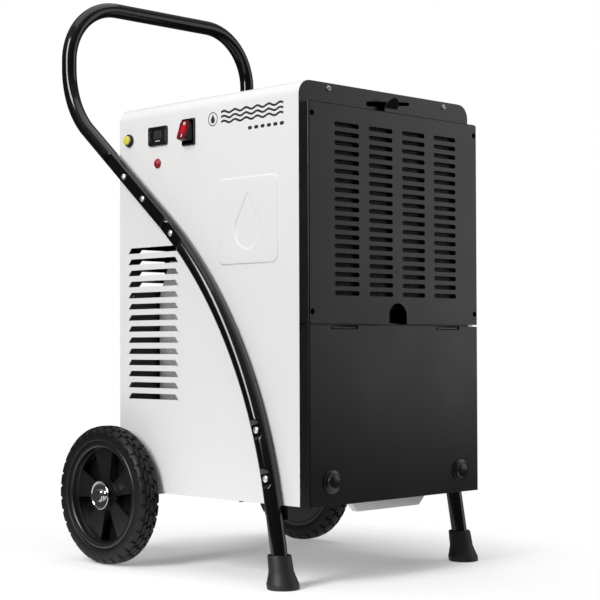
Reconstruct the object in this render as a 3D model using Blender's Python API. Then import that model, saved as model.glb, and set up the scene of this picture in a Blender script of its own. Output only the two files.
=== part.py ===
"""Portable commercial dehumidifier: sheet-metal cabinet on a bent tube frame with two wheels.

Lengths are metres, +Z is up, and the front faces -Y. All shapes are written in the cabinet's
frame (X = 0 on the centre plane, Y = 0 halfway through the cabinet, Z = 0 on the floor), and one
empty moves that frame so that the world origin is at the bottom centre of the whole object.
"""
import math

import bmesh
import bpy
from mathutils import Matrix, Vector

# ---------------------------------------------------------------- driving dimensions
GAP = 0.0003                      # between touching solids
SHEET = 0.0015                    # sheet metal thickness

HALF_W = 0.217                    # cabinet half width
HALF_D = 0.2365                   # cabinet half depth
BOTTOM = 0.134                    # underside of the cabinet
TOP = 0.8355
TOP_RADIUS = 0.025                # bend between the sides and the top

COVER_DEPTH = 0.021               # how far the grille cover and the door stand proud
COVER_TOP = 0.7965
COVER_BOTTOM = 0.4335
DOOR_TOP = 0.4305

TUBE_R = 0.014
TUBE_WALL = 0.002
TUBE_X = HALF_W + TUBE_R + GAP    # plane of each side run of the tube
LEG_FOOT = (-0.2090, 0.008)       # (y, z) of the tube's lower end
LEG_CORNER = (-0.1327, 0.4351)    # where leg line and slanted line would meet
HANDLE_CORNER = (0.3736, 0.8530)  # where slanted line and upright line would meet
LEG_BEND_R = 0.81
HANDLE_BEND_R = 0.163
GRIP_BEND_R = 0.113
GRIP_Z = 1.0557                   # centreline of the cross bar
SCREW_HEIGHTS = (0.178, 0.2575, 0.596, 0.662, 0.706)

WHEEL_R = 0.126
WHEEL_X = 0.249                   # middle of the tyre
WHEEL_Y = 0.230
WHEEL_HALF = 0.021                # half width of the tyre
RIM_R = 0.0985
AXLE_R = 0.0075
AXLE_HALF = 0.2735

DECK_Z = 0.4265                   # top of the deck between air section and tank
FAN_Z = 0.6275
FAN_R = 0.135

TANK_HALF_W = 0.145
TANK_FRONT = -0.2345
TANK_REAR = -0.020
TANK_FLOOR = 0.1363
TANK_TOP = 0.280
LIP_HALF_W = 0.095               # the tank's front lip, seen under the door
LIP_BOTTOM = 0.116
LIP_REAR = -0.2225

KNOB_X, KNOB_Z = 0.165, 0.173
KNOB_HEIGHT = 0.009

FRONT = -HALF_D
COVER_FACE = FRONT - COVER_DEPTH
BACK = HALF_D
FRONTMOST = COVER_FACE - KNOB_HEIGHT
REARMOST = HANDLE_CORNER[0] + TUBE_R

BUTTON_PLACE = (0.2063, 0.7747)      # (y, z) on the left side
METER_LOW, METER_HIGH = (0.0975, 0.7585), (0.1490, 0.7925)
LAMP_PLACE = (0.1257, 0.7263)
SWITCH_LOW, SWITCH_HIGH = (0.0224, 0.7510), (0.0564, 0.7980)
SWITCH_MIDDLE = tuple((a + b) / 2 for a, b in zip(SWITCH_LOW, SWITCH_HIGH))
BADGE_MIDDLE, BADGE_HALF = (-0.112, 0.610), 0.0735
GLAND_PLACE = (0.095, 0.190)         # (x, z) of the cable inlet
COVER_SCREW_X, COVER_SCREW_Z = 0.2090, (0.4530, 0.7780)
PLATE_SCREW_X, PLATE_SCREW_Z = 0.1485, 0.8262
TONGUE_LOW, TONGUE_HIGH = 0.1050, 0.1610
SPOUT_PLACE = (0.060, -0.170)
COIL_HALF = 0.170
COIL_BOTTOM, COIL_TOP = 0.4560, 0.8050
RING_R = 0.150
PIPE_HOLE_RIGHT = (0.1960, 0.5450)
PIPE_HOLE_LEFT = (-0.1960, 0.6000)
FAN_Y = -0.0790
COMPRESSOR_Y = 0.140
FLOAT_PLACE = (0.100, -0.065)
BAIL_PIVOT = (-0.125, 0.2620)        # (y, z) of the handle's pins
BAIL_GRIP_Y = -0.2440
HINGE = (COVER_FACE + 0.0005, DOOR_TOP - 0.0005)   # (y, z) of the door's swing axis
SIDE = -HALF_W - GAP                 # outer face of the left wall, less the gap
ROCKER_PIVOT = (-HALF_W - 0.0055, SWITCH_MIDDLE[1])   # (x, z)
ROCKER_TILT = 18                     # degrees at rest, lower end out

# ---------------------------------------------------------------- scene and materials
for old in list(bpy.data.objects):
    bpy.data.objects.remove(old, do_unlink=True)

cabinet_frame = bpy.data.objects.new("cabinet_frame", None)
cabinet_frame.location = (0, -(FRONTMOST + REARMOST) / 2, 0)
bpy.context.collection.objects.link(cabinet_frame)


def material(name, colour, roughness, metallic=0.0):
    """A Principled material with one colour and finish."""
    mat = bpy.data.materials.new(name)
    mat.use_nodes = True
    shader = mat.node_tree.nodes["Principled BSDF"]
    shader.inputs["Base Color"].default_value = (*colour, 1.0)
    shader.inputs["Roughness"].default_value = roughness
    shader.inputs["Metallic"].default_value = metallic
    return mat


FINISH = {
    "white_paint": ((0.80, 0.80, 0.80), 0.35, 0.0),
    "black_paint": ((0.03, 0.03, 0.03), 0.40, 0.0),
    "tube_paint": ((0.012, 0.012, 0.012), 0.22, 0.0),
    "rubber": ((0.035, 0.035, 0.035), 0.80, 0.0),
    "tyre": ((0.025, 0.025, 0.027), 0.75, 0.0),
    "rim_plastic": ((0.02, 0.02, 0.02), 0.50, 0.0),
    "tank_plastic": ((0.52, 0.53, 0.54), 0.45, 0.0),
    "black_plastic": ((0.02, 0.02, 0.02), 0.45, 0.0),
    "dark_filter": ((0.05, 0.05, 0.055), 0.80, 0.0),
    "galvanised": ((0.60, 0.61, 0.62), 0.40, 1.0),
    "zinc": ((0.75, 0.75, 0.76), 0.25, 1.0),
    "chrome": ((0.85, 0.85, 0.86), 0.08, 1.0),
    "aluminium": ((0.72, 0.73, 0.74), 0.35, 1.0),
    "copper": ((0.75, 0.40, 0.25), 0.30, 1.0),
    "motor_paint": ((0.06, 0.06, 0.065), 0.45, 0.0),
    "red_plastic": ((0.45, 0.01, 0.02), 0.20, 0.0),
    "lamp_red": ((0.28, 0.02, 0.04), 0.15, 0.0),
    "yellow_plastic": ((0.72, 0.62, 0.10), 0.40, 0.0),
    "window": ((0.05, 0.07, 0.06), 0.10, 0.0),
}


# ---------------------------------------------------------------- mesh helpers
def box(low, high):
    """An axis-aligned box between two corners."""
    bm = bmesh.new()
    size = [high[i] - low[i] for i in range(3)]
    middle = [(high[i] + low[i]) / 2 for i in range(3)]
    bmesh.ops.create_cube(bm, size=1, matrix=Matrix.Translation(middle) @ Matrix.Diagonal((*size, 1)))
    return bm


def prism(outline, axis, low, high):
    """Extrude an outline along X, Y or Z; its two values are the other two axes in order."""
    place = {
        "X": lambda p, h: (h, p[0], p[1]),
        "Y": lambda p, h: (p[0], h, p[1]),
        "Z": lambda p, h: (p[0], p[1], h),
    }[axis]
    bm = bmesh.new()
    bottom = [bm.verts.new(place(p, low)) for p in outline]
    top = [bm.verts.new(place(p, high)) for p in outline]
    bm.faces.new(bottom)
    bm.faces.new(top)
    for i in range(len(outline)):
        j = (i + 1) % len(outline)
        bm.faces.new((bottom[i], bottom[j], top[j], top[i]))
    bmesh.ops.recalc_face_normals(bm, faces=bm.faces)
    return bm


def circle(centre, radius, count, start=0.0):
    """Points of a circle in the plane of an outline."""
    return [(centre[0] + radius * math.cos(start + 2 * math.pi * i / count),
             centre[1] + radius * math.sin(start + 2 * math.pi * i / count)) for i in range(count)]


def arc(centre, radius, start, end, steps):
    """Points of an arc from start to end, in degrees, both ends included."""
    angles = [math.radians(start + (end - start) * i / steps) for i in range(steps + 1)]
    return [(centre[0] + radius * math.cos(a), centre[1] + radius * math.sin(a)) for a in angles]


def rounded_rectangle(low, high, radius, steps=3):
    """Outline of a rectangle with round corners, counter-clockwise."""
    corners = (((high[0] - radius, low[1] + radius), -90), ((high[0] - radius, high[1] - radius), 0),
               ((low[0] + radius, high[1] - radius), 90), ((low[0] + radius, low[1] + radius), 180))
    return [p for centre, start in corners for p in arc(centre, radius, start, start + 90, steps)]


def cylinder(axis, centre, radius, low, high, count=16):
    """A cylinder along an axis; the centre is given in the other two axes."""
    return prism(circle(centre, radius, count), axis, low, high)


def lathe(profile, axis, centre, count, closed=False):
    """Turn (radius, height) points about an axis. A closed profile makes a ring."""
    place = {
        "X": lambda a, b, h: (h, centre[0] + a, centre[1] + b),
        "Y": lambda a, b, h: (centre[0] + a, h, centre[1] + b),
        "Z": lambda a, b, h: (centre[0] + a, centre[1] + b, h),
    }[axis]
    bm = bmesh.new()
    rings = []
    for radius, height in profile:
        if radius < 1e-7:
            rings.append([bm.verts.new(place(0, 0, height))] * count)
            continue
        angles = [2 * math.pi * i / count - math.pi / 2 for i in range(count)]
        rings.append([bm.verts.new(place(radius * math.cos(a), radius * math.sin(a), height))
                      for a in angles])
    spans = list(zip(rings, rings[1:]))
    if closed:
        spans.append((rings[-1], rings[0]))
    for lower, upper in spans:
        for i in range(count):
            j = (i + 1) % count
            corners = []
            for vert in (lower[i], lower[j], upper[j], upper[i]):
                if vert not in corners:
                    corners.append(vert)
            if len(corners) > 2:
                bm.faces.new(corners)
    if not closed:
        for ring, (radius, height) in ((rings[0], profile[0]), (rings[-1], profile[-1])):
            if radius > 1e-7:
                bm.faces.new(ring)
    bmesh.ops.recalc_face_normals(bm, faces=bm.faces)
    return bm


def sweep(points, radius, sides=8, inner=None, across=None):
    """A round bar, or a tube when an inner radius is given, along a list of points."""
    points = [Vector(p) for p in points]
    tangents = []
    for i in range(len(points)):
        ahead = points[min(i + 1, len(points) - 1)] - points[i]
        behind = points[i] - points[max(i - 1, 0)]
        tangents.append((ahead.normalized() + behind.normalized()).normalized())
    normal = Vector(across) if across else tangents[0].orthogonal().normalized()
    bm = bmesh.new()
    shells = []
    for wall in [radius] if inner is None else [radius, inner]:
        turned = normal.copy()
        rings = []
        for i, point in enumerate(points):
            if i:
                turned.rotate(tangents[i - 1].rotation_difference(tangents[i]))
            side = tangents[i].cross(turned)
            rings.append([bm.verts.new(point + wall * (math.cos(a) * turned + math.sin(a) * side))
                          for a in (2 * math.pi * k / sides for k in range(sides))])
        for lower, upper in zip(rings, rings[1:]):
            for k in range(sides):
                bm.faces.new((lower[k], lower[(k + 1) % sides], upper[(k + 1) % sides], upper[k]))
        shells.append(rings)
    for end in (0, -1):
        if inner is None:
            bm.faces.new(shells[0][end])
            continue
        outer_ring, inner_ring = shells[0][end], shells[1][end]
        for k in range(sides):
            m = (k + 1) % sides
            bm.faces.new((outer_ring[k], outer_ring[m], inner_ring[m], inner_ring[k]))
    bmesh.ops.recalc_face_normals(bm, faces=bm.faces)
    return bm


def scratch(bm, name):
    """A temporary object that holds a mesh for a Boolean."""
    mesh = bpy.data.meshes.new(name)
    bm.to_mesh(mesh)
    bm.free()
    obj = bpy.data.objects.new(name, mesh)
    obj.hide_render = True
    obj.display_type = "WIRE"
    bpy.context.collection.objects.link(obj)
    return obj


def combine(shapes):
    """Put shapes that don't touch into one mesh."""
    whole = bmesh.new()
    for bm in shapes:
        mesh = bpy.data.meshes.new("piece")
        bm.to_mesh(mesh)
        bm.free()
        whole.from_mesh(mesh)
        bpy.data.meshes.remove(mesh)
    return whole


def boolean(base, tool, operation):
    """Apply one exact Boolean and return the result."""
    target, cutter = scratch(base, "target"), scratch(tool, "cutter")
    modifier = target.modifiers.new("boolean", "BOOLEAN")
    modifier.operation = operation
    modifier.object = cutter
    modifier.solver = "EXACT"
    evaluated = target.evaluated_get(bpy.context.evaluated_depsgraph_get())
    result = bmesh.new()
    result.from_mesh(evaluated.to_mesh())
    evaluated.to_mesh_clear()
    for obj in (target, cutter):
        mesh = obj.data
        bpy.data.objects.remove(obj, do_unlink=True)
        bpy.data.meshes.remove(mesh)
    bmesh.ops.remove_doubles(result, verts=result.verts, dist=1e-6)
    return result


def cut(base, *tools):
    """Take away tools that don't touch one another."""
    return boolean(base, combine(tools), "DIFFERENCE")


def join(base, *tools):
    """Fuse tools with the base one after another."""
    for tool in tools:
        base = boolean(base, tool, "UNION")
    return base


def mirrored(shape):
    """The shape's mirror image in the centre plane."""
    copy = shape.copy()
    for vert in copy.verts:
        vert.co.x = -vert.co.x
    bmesh.ops.reverse_faces(copy, faces=copy.faces)
    return copy


def both_sides(shape):
    """The shape and its mirror image, for cuts on the left and the right."""
    return [mirrored(shape), shape]


def node(name, bm, finish, pivot=(0, 0, 0), smooth=None):
    """Make the object of one sub-part, with its origin at its pivot."""
    mesh = bpy.data.meshes.new(name)
    for vert in bm.verts:
        vert.co -= Vector(pivot)
    bm.to_mesh(mesh)
    bm.free()
    if smooth:
        mesh.shade_smooth()
        mesh.set_sharp_from_angle(angle=math.radians(smooth))
    colour, roughness, metallic = FINISH[finish]
    mesh.materials.append(material(name, colour, roughness, metallic))
    obj = bpy.data.objects.new(name, mesh)
    obj.location = pivot
    obj.parent = cabinet_frame
    bpy.context.collection.objects.link(obj)
    return obj


# ---------------------------------------------------------------- tube frame, feet, screws
def bend(start, corner, end, radius, steps):
    """Arc that rounds the corner between two straight runs, as 3-D points."""
    start, corner, end = Vector(start), Vector(corner), Vector(end)
    u, v = (start - corner).normalized(), (end - corner).normalized()
    half = u.angle(v) / 2
    middle = corner + (u + v).normalized() * radius / math.sin(half)
    first = corner + u * radius / math.tan(half) - middle
    last = corner + v * radius / math.tan(half) - middle
    turn = first.angle(last)
    return [middle + (math.sin(turn * (1 - i / steps)) * first + math.sin(turn * i / steps) * last)
            / math.sin(turn) for i in range(steps + 1)]


def tube_path():
    """Centreline of the whole frame from the left foot over the handle to the right foot."""
    foot = (-TUBE_X, *LEG_FOOT)
    low = (-TUBE_X, *LEG_CORNER)
    high = (-TUBE_X, *HANDLE_CORNER)
    grip = (-TUBE_X, HANDLE_CORNER[0], GRIP_Z)
    centre = (0, HANDLE_CORNER[0], GRIP_Z)
    left = [foot]
    left += bend(foot, low, high, LEG_BEND_R, 7)
    left += bend(low, high, grip, HANDLE_BEND_R, 5)
    left += bend(high, grip, centre, GRIP_BEND_R, 5)
    left = [Vector(p) for p in left]
    return left + [Vector((-p.x, p.y, p.z)) for p in reversed(left)]


TUBE_PATH = tube_path()


def tube_y(height):
    """Y of the tube's centreline on the cabinet's side, at a height."""
    for lower, upper in zip(TUBE_PATH, TUBE_PATH[1:]):
        if lower.z <= height <= upper.z:
            return lower.y + (upper.y - lower.y) * (height - lower.z) / (upper.z - lower.z)
    return None


def build_tube_frame():
    holes = []
    for height in SCREW_HEIGHTS:
        hole = cylinder("X", (tube_y(height), height), 0.0026, HALF_W - 0.002,
                        TUBE_X + TUBE_R + 0.004, 8)
        holes += both_sides(hole)
    bm = cut(sweep(TUBE_PATH, TUBE_R, 12, TUBE_R - TUBE_WALL, across=(1, 0, 0)), *holes)
    node("tube_frame", bm, "tube_paint", smooth=50)


def build_tube_screws():
    head = TUBE_X + TUBE_R + GAP
    profile = [(0, HALF_W - 0.008), (0.0021, HALF_W - 0.008), (0.0021, head), (0.0055, head),
               (0.0050, head + 0.0020), (0.0028, head + 0.0030), (0, head + 0.0030)]
    for sign, side in ((-1, "left"), (1, "right")):
        for number, height in enumerate(SCREW_HEIGHTS, 1):
            place = (tube_y(height), height)
            bm = lathe([(r, sign * x) for r, x in profile], "X", place, 10)
            node(f"tube_screw_{side}_{number}", bm, "zinc", (sign * head, *place), smooth=40)


def build_feet():
    lean = (LEG_CORNER[0] - LEG_FOOT[0]) / (LEG_CORNER[1] - LEG_FOOT[1])
    profile = [(0, 0), (0.0262, 0), (0.0270, 0.006), (0.0235, 0.021), (0.0215, 0.030), (0.0196, 0.054),
               (0.0186, 0.055), (TUBE_R + 0.0005, 0.055), (TUBE_R + 0.0005, 0.005), (0, 0.005)]
    for sign, side in ((-1, "left"), (1, "right")):
        place = (sign * TUBE_X, LEG_FOOT[0] - lean * LEG_FOOT[1])
        bm = lathe(profile, "Z", place, 20)
        for vert in bm.verts:
            vert.co.y += lean * vert.co.z
        node(f"foot_{side}", bm, "rubber", smooth=45)


# ---------------------------------------------------------------- cabinet
def louvres(first_top, rows, left, right, low, high, axis):
    """Rows of slots, 10 mm high and wider at the bottom, as cutters along an axis."""
    pitch, height, slant = 0.0204, 0.0100, 0.0085
    slots = []
    for row in range(rows):
        top = first_top - row * pitch
        outline = [(left, top - height), (right, top - height),
                   (right - slant, top), (left + slant, top)]
        slots.append(prism(outline, axis, low, high))
    return slots


def cabinet_outline(inset, bottom):
    """Inverted U outline (x, z) of the cabinet, with round top corners."""
    half, top, radius = HALF_W - inset, TOP - inset, TOP_RADIUS - inset
    right = arc((half - radius, top - radius), radius, 0, 90, 5)
    left = arc((radius - half, top - radius), radius, 90, 180, 5)
    return [(-half, bottom), (half, bottom)] + right + left


def inset_box(low, high, amount):
    """Corners of a rectangle moved inwards."""
    return (low[0] + amount, low[1] + amount), (high[0] - amount, high[1] - amount)


def wall_cutter(low, high, inset, near, far):
    """A box through the side wall, a little smaller than a control's face."""
    low, high = inset_box(low, high, inset)
    return box((near, *low), (far, *high))


def drop_outline(middle, radius, steps=10):
    """A water drop: a round belly and a pointed top."""
    belly = arc(middle, radius, -220, 40, steps)
    return belly + [(middle[0], middle[1] + 2.1 * radius)]


def build_housing():
    front, back = FRONT + SHEET + GAP, BACK
    wall_front, wall_back = front + SHEET, back - SHEET
    bm = prism(cabinet_outline(0, BOTTOM), "Y", front, back)
    bm = cut(bm, prism(cabinet_outline(SHEET, BOTTOM - 0.01), "Y", wall_front, wall_back))
    bm = cut(bm, box((-0.200, front - 0.01, BOTTOM - 0.01), (0.200, wall_front + 0.001, 0.817)))
    bm = cut(bm, box((-0.066, front - 0.01, 0.800), (0.066, wall_front + 0.001, 0.833)))
    bm = cut(bm, box((-0.182, wall_back - 0.001, BOTTOM - 0.01), (0.182, back + 0.01, 0.800)))
    for sign in (-1, 1):
        low, high = sorted((sign * (HALF_W - 0.01), sign * (HALF_W + 0.01)))
        bm = cut(bm, *louvres(0.5766, 14, 0.0705, 0.2120, low, high, "X"))
        bm = cut(bm, *[cylinder("X", (tube_y(z), z), 0.0026, low, high, 8) for z in SCREW_HEIGHTS])
    left = (-HALF_W - 0.01, -HALF_W + 0.01)
    bm = cut(bm,
             cylinder("X", BUTTON_PLACE, 0.0082, *left),
             cylinder("X", LAMP_PLACE, 0.0072, *left),
             wall_cutter(METER_LOW, METER_HIGH, 0.0030, *left),
             wall_cutter(SWITCH_LOW, SWITCH_HIGH, 0.0016, *left))
    badge_low = tuple(c - BADGE_HALF for c in BADGE_MIDDLE)
    badge_high = tuple(c + BADGE_HALF for c in BADGE_MIDDLE)
    badge = prism(rounded_rectangle(badge_low, badge_high, 0.014), "X", -HALF_W - 0.0008, -HALF_W + 0.0005)
    bm = join(bm, badge)
    drop = drop_outline((BADGE_MIDDLE[0], BADGE_MIDDLE[1] - 0.012), 0.026)
    bm = cut(bm, prism(drop, "X", -HALF_W - 0.002, -HALF_W - 0.0002))
    cover_screws = [cylinder("Y", (x, z), 0.0021, front - 0.01, wall_front + 0.01, 8)
                    for x in (-COVER_SCREW_X, COVER_SCREW_X) for z in COVER_SCREW_Z]
    plate_screws = [cylinder("Y", (x, PLATE_SCREW_Z), 0.0021, front - 0.01, wall_front + 0.01, 8)
                    for x in (-PLATE_SCREW_X, PLATE_SCREW_X)]
    bm = cut(bm, *cover_screws, *plate_screws)
    node("housing", bm, "white_paint", smooth=30)


def build_back_panel():
    front = BACK - 2 * SHEET - 2 * GAP
    bm = box((-0.1960, front, 0.1580), (0.1960, front + SHEET, 0.8080))
    for sign in (-1, 1):
        left, right = sorted((sign * 0.1756, sign * 0.1040))
        bm = cut(bm, *louvres(0.5769, 4, left, right, front - 0.01, front + 0.01, "Y"))
    bm = cut(bm, cylinder("Y", GLAND_PLACE, 0.0092, front - 0.01, front + 0.01))
    node("back_panel", bm, "black_paint")


def build_cable_gland():
    panel = BACK - SHEET - 2 * GAP
    profile = [(0.0088, panel - 0.012), (0.0088, panel + GAP),
               (0.0125, panel + GAP), (0.0125, panel + 0.006),
               (0.0100, panel + 0.010), (0.0075, panel + 0.022), (0.0045, panel + 0.022),
               (0.0045, panel - 0.012)]
    bm = lathe(profile, "Y", GLAND_PLACE, 16, closed=True)
    node("cable_gland", bm, "black_plastic", smooth=40)


def build_front_plate():
    back = FRONT + SHEET
    radius = TOP_RADIUS
    outline = ([(-HALF_W, BOTTOM), (HALF_W, BOTTOM)]
               + arc((HALF_W - radius, TOP - radius), radius, 0, 90, 5)
               + arc((radius - HALF_W, TOP - radius), radius, 90, 180, 5))
    bm = prism(outline, "Y", FRONT, back)
    reach = (FRONT - 0.01, back + 0.01)
    bm = cut(bm,
             box((-0.150, reach[0], BOTTOM - 0.01), (0.150, reach[1], 0.415)),
             box((-0.180, reach[0], 0.460), (0.180, reach[1], 0.785)),
             *[cylinder("Y", (x, KNOB_Z), 0.0065, *reach) for x in (-KNOB_X, KNOB_X)],
             *[cylinder("Y", (x, z), 0.0021, *reach, 8)
               for x in (-COVER_SCREW_X, COVER_SCREW_X) for z in COVER_SCREW_Z],
             *[cylinder("Y", (x, PLATE_SCREW_Z), 0.0021, *reach, 8)
               for x in (-PLATE_SCREW_X, PLATE_SCREW_X)])
    slot = arc((0.0530, 0.8214), 0.0030, -84, 96, 6) + arc((-0.0515, 0.8107), 0.0045, 96, 276, 6)
    bm = cut(bm, prism(slot, "Y", *reach))
    finger = rounded_rectangle((-0.0270, 0.7990), (0.0110, 0.8145), 0.004)
    bm = cut(bm, prism(finger, "Y", *reach))
    for sign in (-1, 1):
        inner, outer = sign * TONGUE_LOW, sign * TONGUE_HIGH
        low, high = min(inner, outer), max(inner, outer)
        rail = sorted((sign * 0.1864, sign * 0.1879))
        bm = join(bm,
                  box((low, COVER_FACE + 0.0008, 0.4257), (high, FRONT + 0.0005, 0.4285)),
                  box((rail[0], -0.2520, 0.4575), (rail[1], FRONT + 0.0005, 0.7800)))
    bm = join(bm, box((-0.1870, -0.2520, 0.4560), (0.1870, FRONT + 0.0005, 0.4580)))
    node("front_plate", bm, "black_paint")


def build_plate_screws():
    head = FRONT - GAP
    profile = [(0, FRONT + 0.010), (0.0018, FRONT + 0.010), (0.0018, head), (0.0050, head),
               (0.0046, head - 0.0018), (0.0025, head - 0.0026), (0, head - 0.0026)]
    for sign, side in ((-1, "left"), (1, "right")):
        place = (sign * PLATE_SCREW_X, PLATE_SCREW_Z)
        node(f"plate_screw_{side}", lathe(profile, "Y", place, 12), "zinc",
             (place[0], head, place[1]), smooth=40)


def build_grille_cover():
    face, rear = COVER_FACE, FRONT - 2 * GAP
    bm = box((-HALF_W, face, COVER_BOTTOM), (HALF_W, rear, COVER_TOP))
    bm = cut(bm, box((-HALF_W + SHEET, face + SHEET, COVER_BOTTOM + SHEET),
                     (HALF_W - SHEET, rear + 0.01, COVER_TOP - SHEET)))
    bm = cut(bm, box((-HALF_W + SHEET, face + 0.0055, COVER_TOP - 0.005),
                     (HALF_W - SHEET, rear + 0.01, COVER_TOP + 0.01)))
    for x in (-COVER_SCREW_X, COVER_SCREW_X):
        for z in COVER_SCREW_Z:
            low, high = sorted((math.copysign(HALF_W - SHEET / 2, x), math.copysign(0.2040, x)))
            bm = join(bm, box((low, rear - SHEET, z - 0.006), (high, rear, z + 0.006)))
    columns = (-0.1266, -0.0422, 0.0422, 0.1266)
    rows = [0.4843 + i * (0.7640 - 0.4843) / 18 for i in range(19)]
    half_w, half_h, point = 0.0295, 0.0037, 0.0265
    slots = []
    for x in columns:
        for z in rows:
            outline = [(x - point, z - half_h), (x + point, z - half_h), (x + half_w, z),
                       (x + point, z + half_h), (x - point, z + half_h), (x - half_w, z)]
            slots.append(prism(outline, "Y", face - 0.01, face + SHEET + 0.001))
    bm = cut(bm, *slots)
    notch = [(0.0233, COVER_BOTTOM - 0.01)] + arc((0, 0.4463), 0.0233, 0, 180, 8)
    notch.append((-0.0233, COVER_BOTTOM - 0.01))
    bm = cut(bm, prism(notch, "Y", face - 0.01, face + 0.012))
    holes = []
    for x in (-COVER_SCREW_X, COVER_SCREW_X):
        for z in COVER_SCREW_Z:
            holes.append(cylinder("Y", (x, z), 0.0050, face - 0.01, face + SHEET + 0.001, 12))
            holes.append(cylinder("Y", (x, z), 0.0021, rear - 0.003, rear + 0.003, 8))
    bm = cut(bm, *holes)
    node("grille_cover", bm, "black_paint")


def build_cover_screws():
    seat = FRONT - 2 * GAP - SHEET - GAP
    profile = [(0, FRONT + 0.010), (0.0018, FRONT + 0.010), (0.0018, seat), (0.0034, seat),
               (0.0034, seat - 0.0025), (0, seat - 0.0025)]
    number = 0
    for z in COVER_SCREW_Z:
        for x in (-COVER_SCREW_X, COVER_SCREW_X):
            number += 1
            node(f"cover_screw_{number}", lathe(profile, "Y", (x, z), 10), "black_plastic",
                 (x, seat, z), smooth=40)


def build_base_pan():
    wall = SHEET + GAP
    x, y0, y1 = HALF_W - wall, FRONT + SHEET + 2 * wall, BACK - 2 * wall - SHEET
    bm = box((-x, y0, BOTTOM), (x, y1, 0.1550))
    bm = cut(bm, box((-x + SHEET, y0 + SHEET, BOTTOM + SHEET), (x - SHEET, y1 - SHEET, 0.2)))
    bm = cut(bm, box((-0.100, y0 - 0.01, BOTTOM - 0.01), (0.100, LIP_REAR + 0.004, BOTTOM + SHEET + 0.001)))
    bm = cut(bm, box((-0.152, y0 - 0.01, BOTTOM + SHEET), (0.152, y0 + 0.005, 0.2)))
    for sign in (-1, 1):
        low, high = sorted((sign * 0.1950, sign * 0.1980))
        ear = [(0.2080, BOTTOM + 0.001), (0.2080, 0.1230), (0.2180, 0.1130), (0.2440, 0.1130),
               (0.2440, BOTTOM - 0.0005), (y1, BOTTOM - 0.0005), (y1, BOTTOM + 0.001)]
        bm = join(bm, prism(ear, "X", low, high))
        bm = cut(bm, cylinder("X", (WHEEL_Y, WHEEL_R), AXLE_R + 0.0006, low - 0.01, high + 0.01, 16))
    lug = [(-0.2050, BOTTOM + 0.001), (-0.2050, 0.1100), (-0.1600, 0.1100), (-0.1435, 0.1270),
           (-0.1435, BOTTOM + 0.001)]
    bm = join(bm, prism(lug, "X", -x, SHEET - x))
    node("base_pan", bm, "black_paint")


def build_mid_deck():
    y0, y1 = FRONT + 2 * SHEET + 3 * GAP, 0.0410
    x = HALF_W - SHEET - 2 * GAP
    bm = box((-x, y0, 0.4160), (x, y1, DECK_Z))
    bm = cut(bm, box((-x + SHEET, y0 + SHEET, 0.40), (x - SHEET, y1 - SHEET, DECK_Z - SHEET)))
    bm = cut(bm, cylinder("Z", SPOUT_PLACE, 0.0085, 0.41, 0.44))
    node("mid_deck", bm, "galvanised")


def build_partition():
    x = HALF_W - 2 * SHEET - 3 * GAP
    low, high = BOTTOM + SHEET + 2 * GAP, 0.5080
    y0, y1 = 0.0420, BACK - 2 * SHEET - 4 * GAP - 0.0035
    bm = box((-x, y0, low), (x, y0 + SHEET, high))
    raised = 0.5560
    left_wall = [(y0 + SHEET / 2, low), (y1, low), (y1, 0.4900), (y1 - 0.030, raised),
                 (y0 + SHEET / 2, raised)]
    bm = join(bm, prism(left_wall, "X", -0.1285, -0.1270),
              box((0.1270, y0 + SHEET / 2, low), (0.1285, y1, high)))
    node("partition", bm, "galvanised")


# ---------------------------------------------------------------- refrigeration and air


def build_coil(name, front, back, finish, bend_rows):
    """A finned coil: fins on a thin core, two end plates and the return bends."""
    fin, pitch, count = 0.0020, 0.0204, 16
    start = -COIL_HALF + 0.008
    outline = [(-COIL_HALF, front), (-COIL_HALF, back), (COIL_HALF, back), (COIL_HALF, front)]
    teeth = []
    for i in range(count):
        x = start + (count - 1 - i) * pitch
        teeth += [(x + pitch - 0.004, front), (x + pitch - 0.004, back - 0.004),
                  (x + fin, back - 0.004), (x + fin, front)]
    bm = prism(outline + teeth, "Z", COIL_BOTTOM, COIL_TOP)
    middle = (front + back) / 2
    for sign in (-1, 1):
        for z in bend_rows[0 if sign < 0 else 1]:
            centre = (sign * (COIL_HALF - 0.002), middle, z)
            points = [Vector(centre) + Vector((sign * 0.014 * math.sin(a), 0, 0.014 * math.cos(a)))
                      for a in (math.pi * k / 6 for k in range(7))]
            bm = join(bm, sweep(points, 0.0045, 6))
    node(name, bm, finish, smooth=30)


def build_drip_tray():
    low, high = (-0.190, -0.2290, DECK_Z + GAP), (0.190, -0.1230, 0.4520)
    bm = box(low, high)
    bm = cut(bm, box((low[0] + SHEET, low[1] + SHEET, low[2] + SHEET),
                     (high[0] - SHEET, high[1] - SHEET, high[2] + 0.01)))
    for x in (-0.150, 0.150):
        bm = join(bm, box((x - 0.010, -0.2250, low[2] + SHEET / 2), (x + 0.010, -0.1270, COIL_BOTTOM - GAP)))
    bm = join(bm, cylinder("Z", SPOUT_PLACE, 0.0080, 0.3950, low[2] + SHEET / 2, 12))
    bm = cut(bm, cylinder("Z", SPOUT_PLACE, 0.0062, 0.3900, 0.4400, 12))
    node("drip_tray", bm, "black_plastic", smooth=30)


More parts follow.
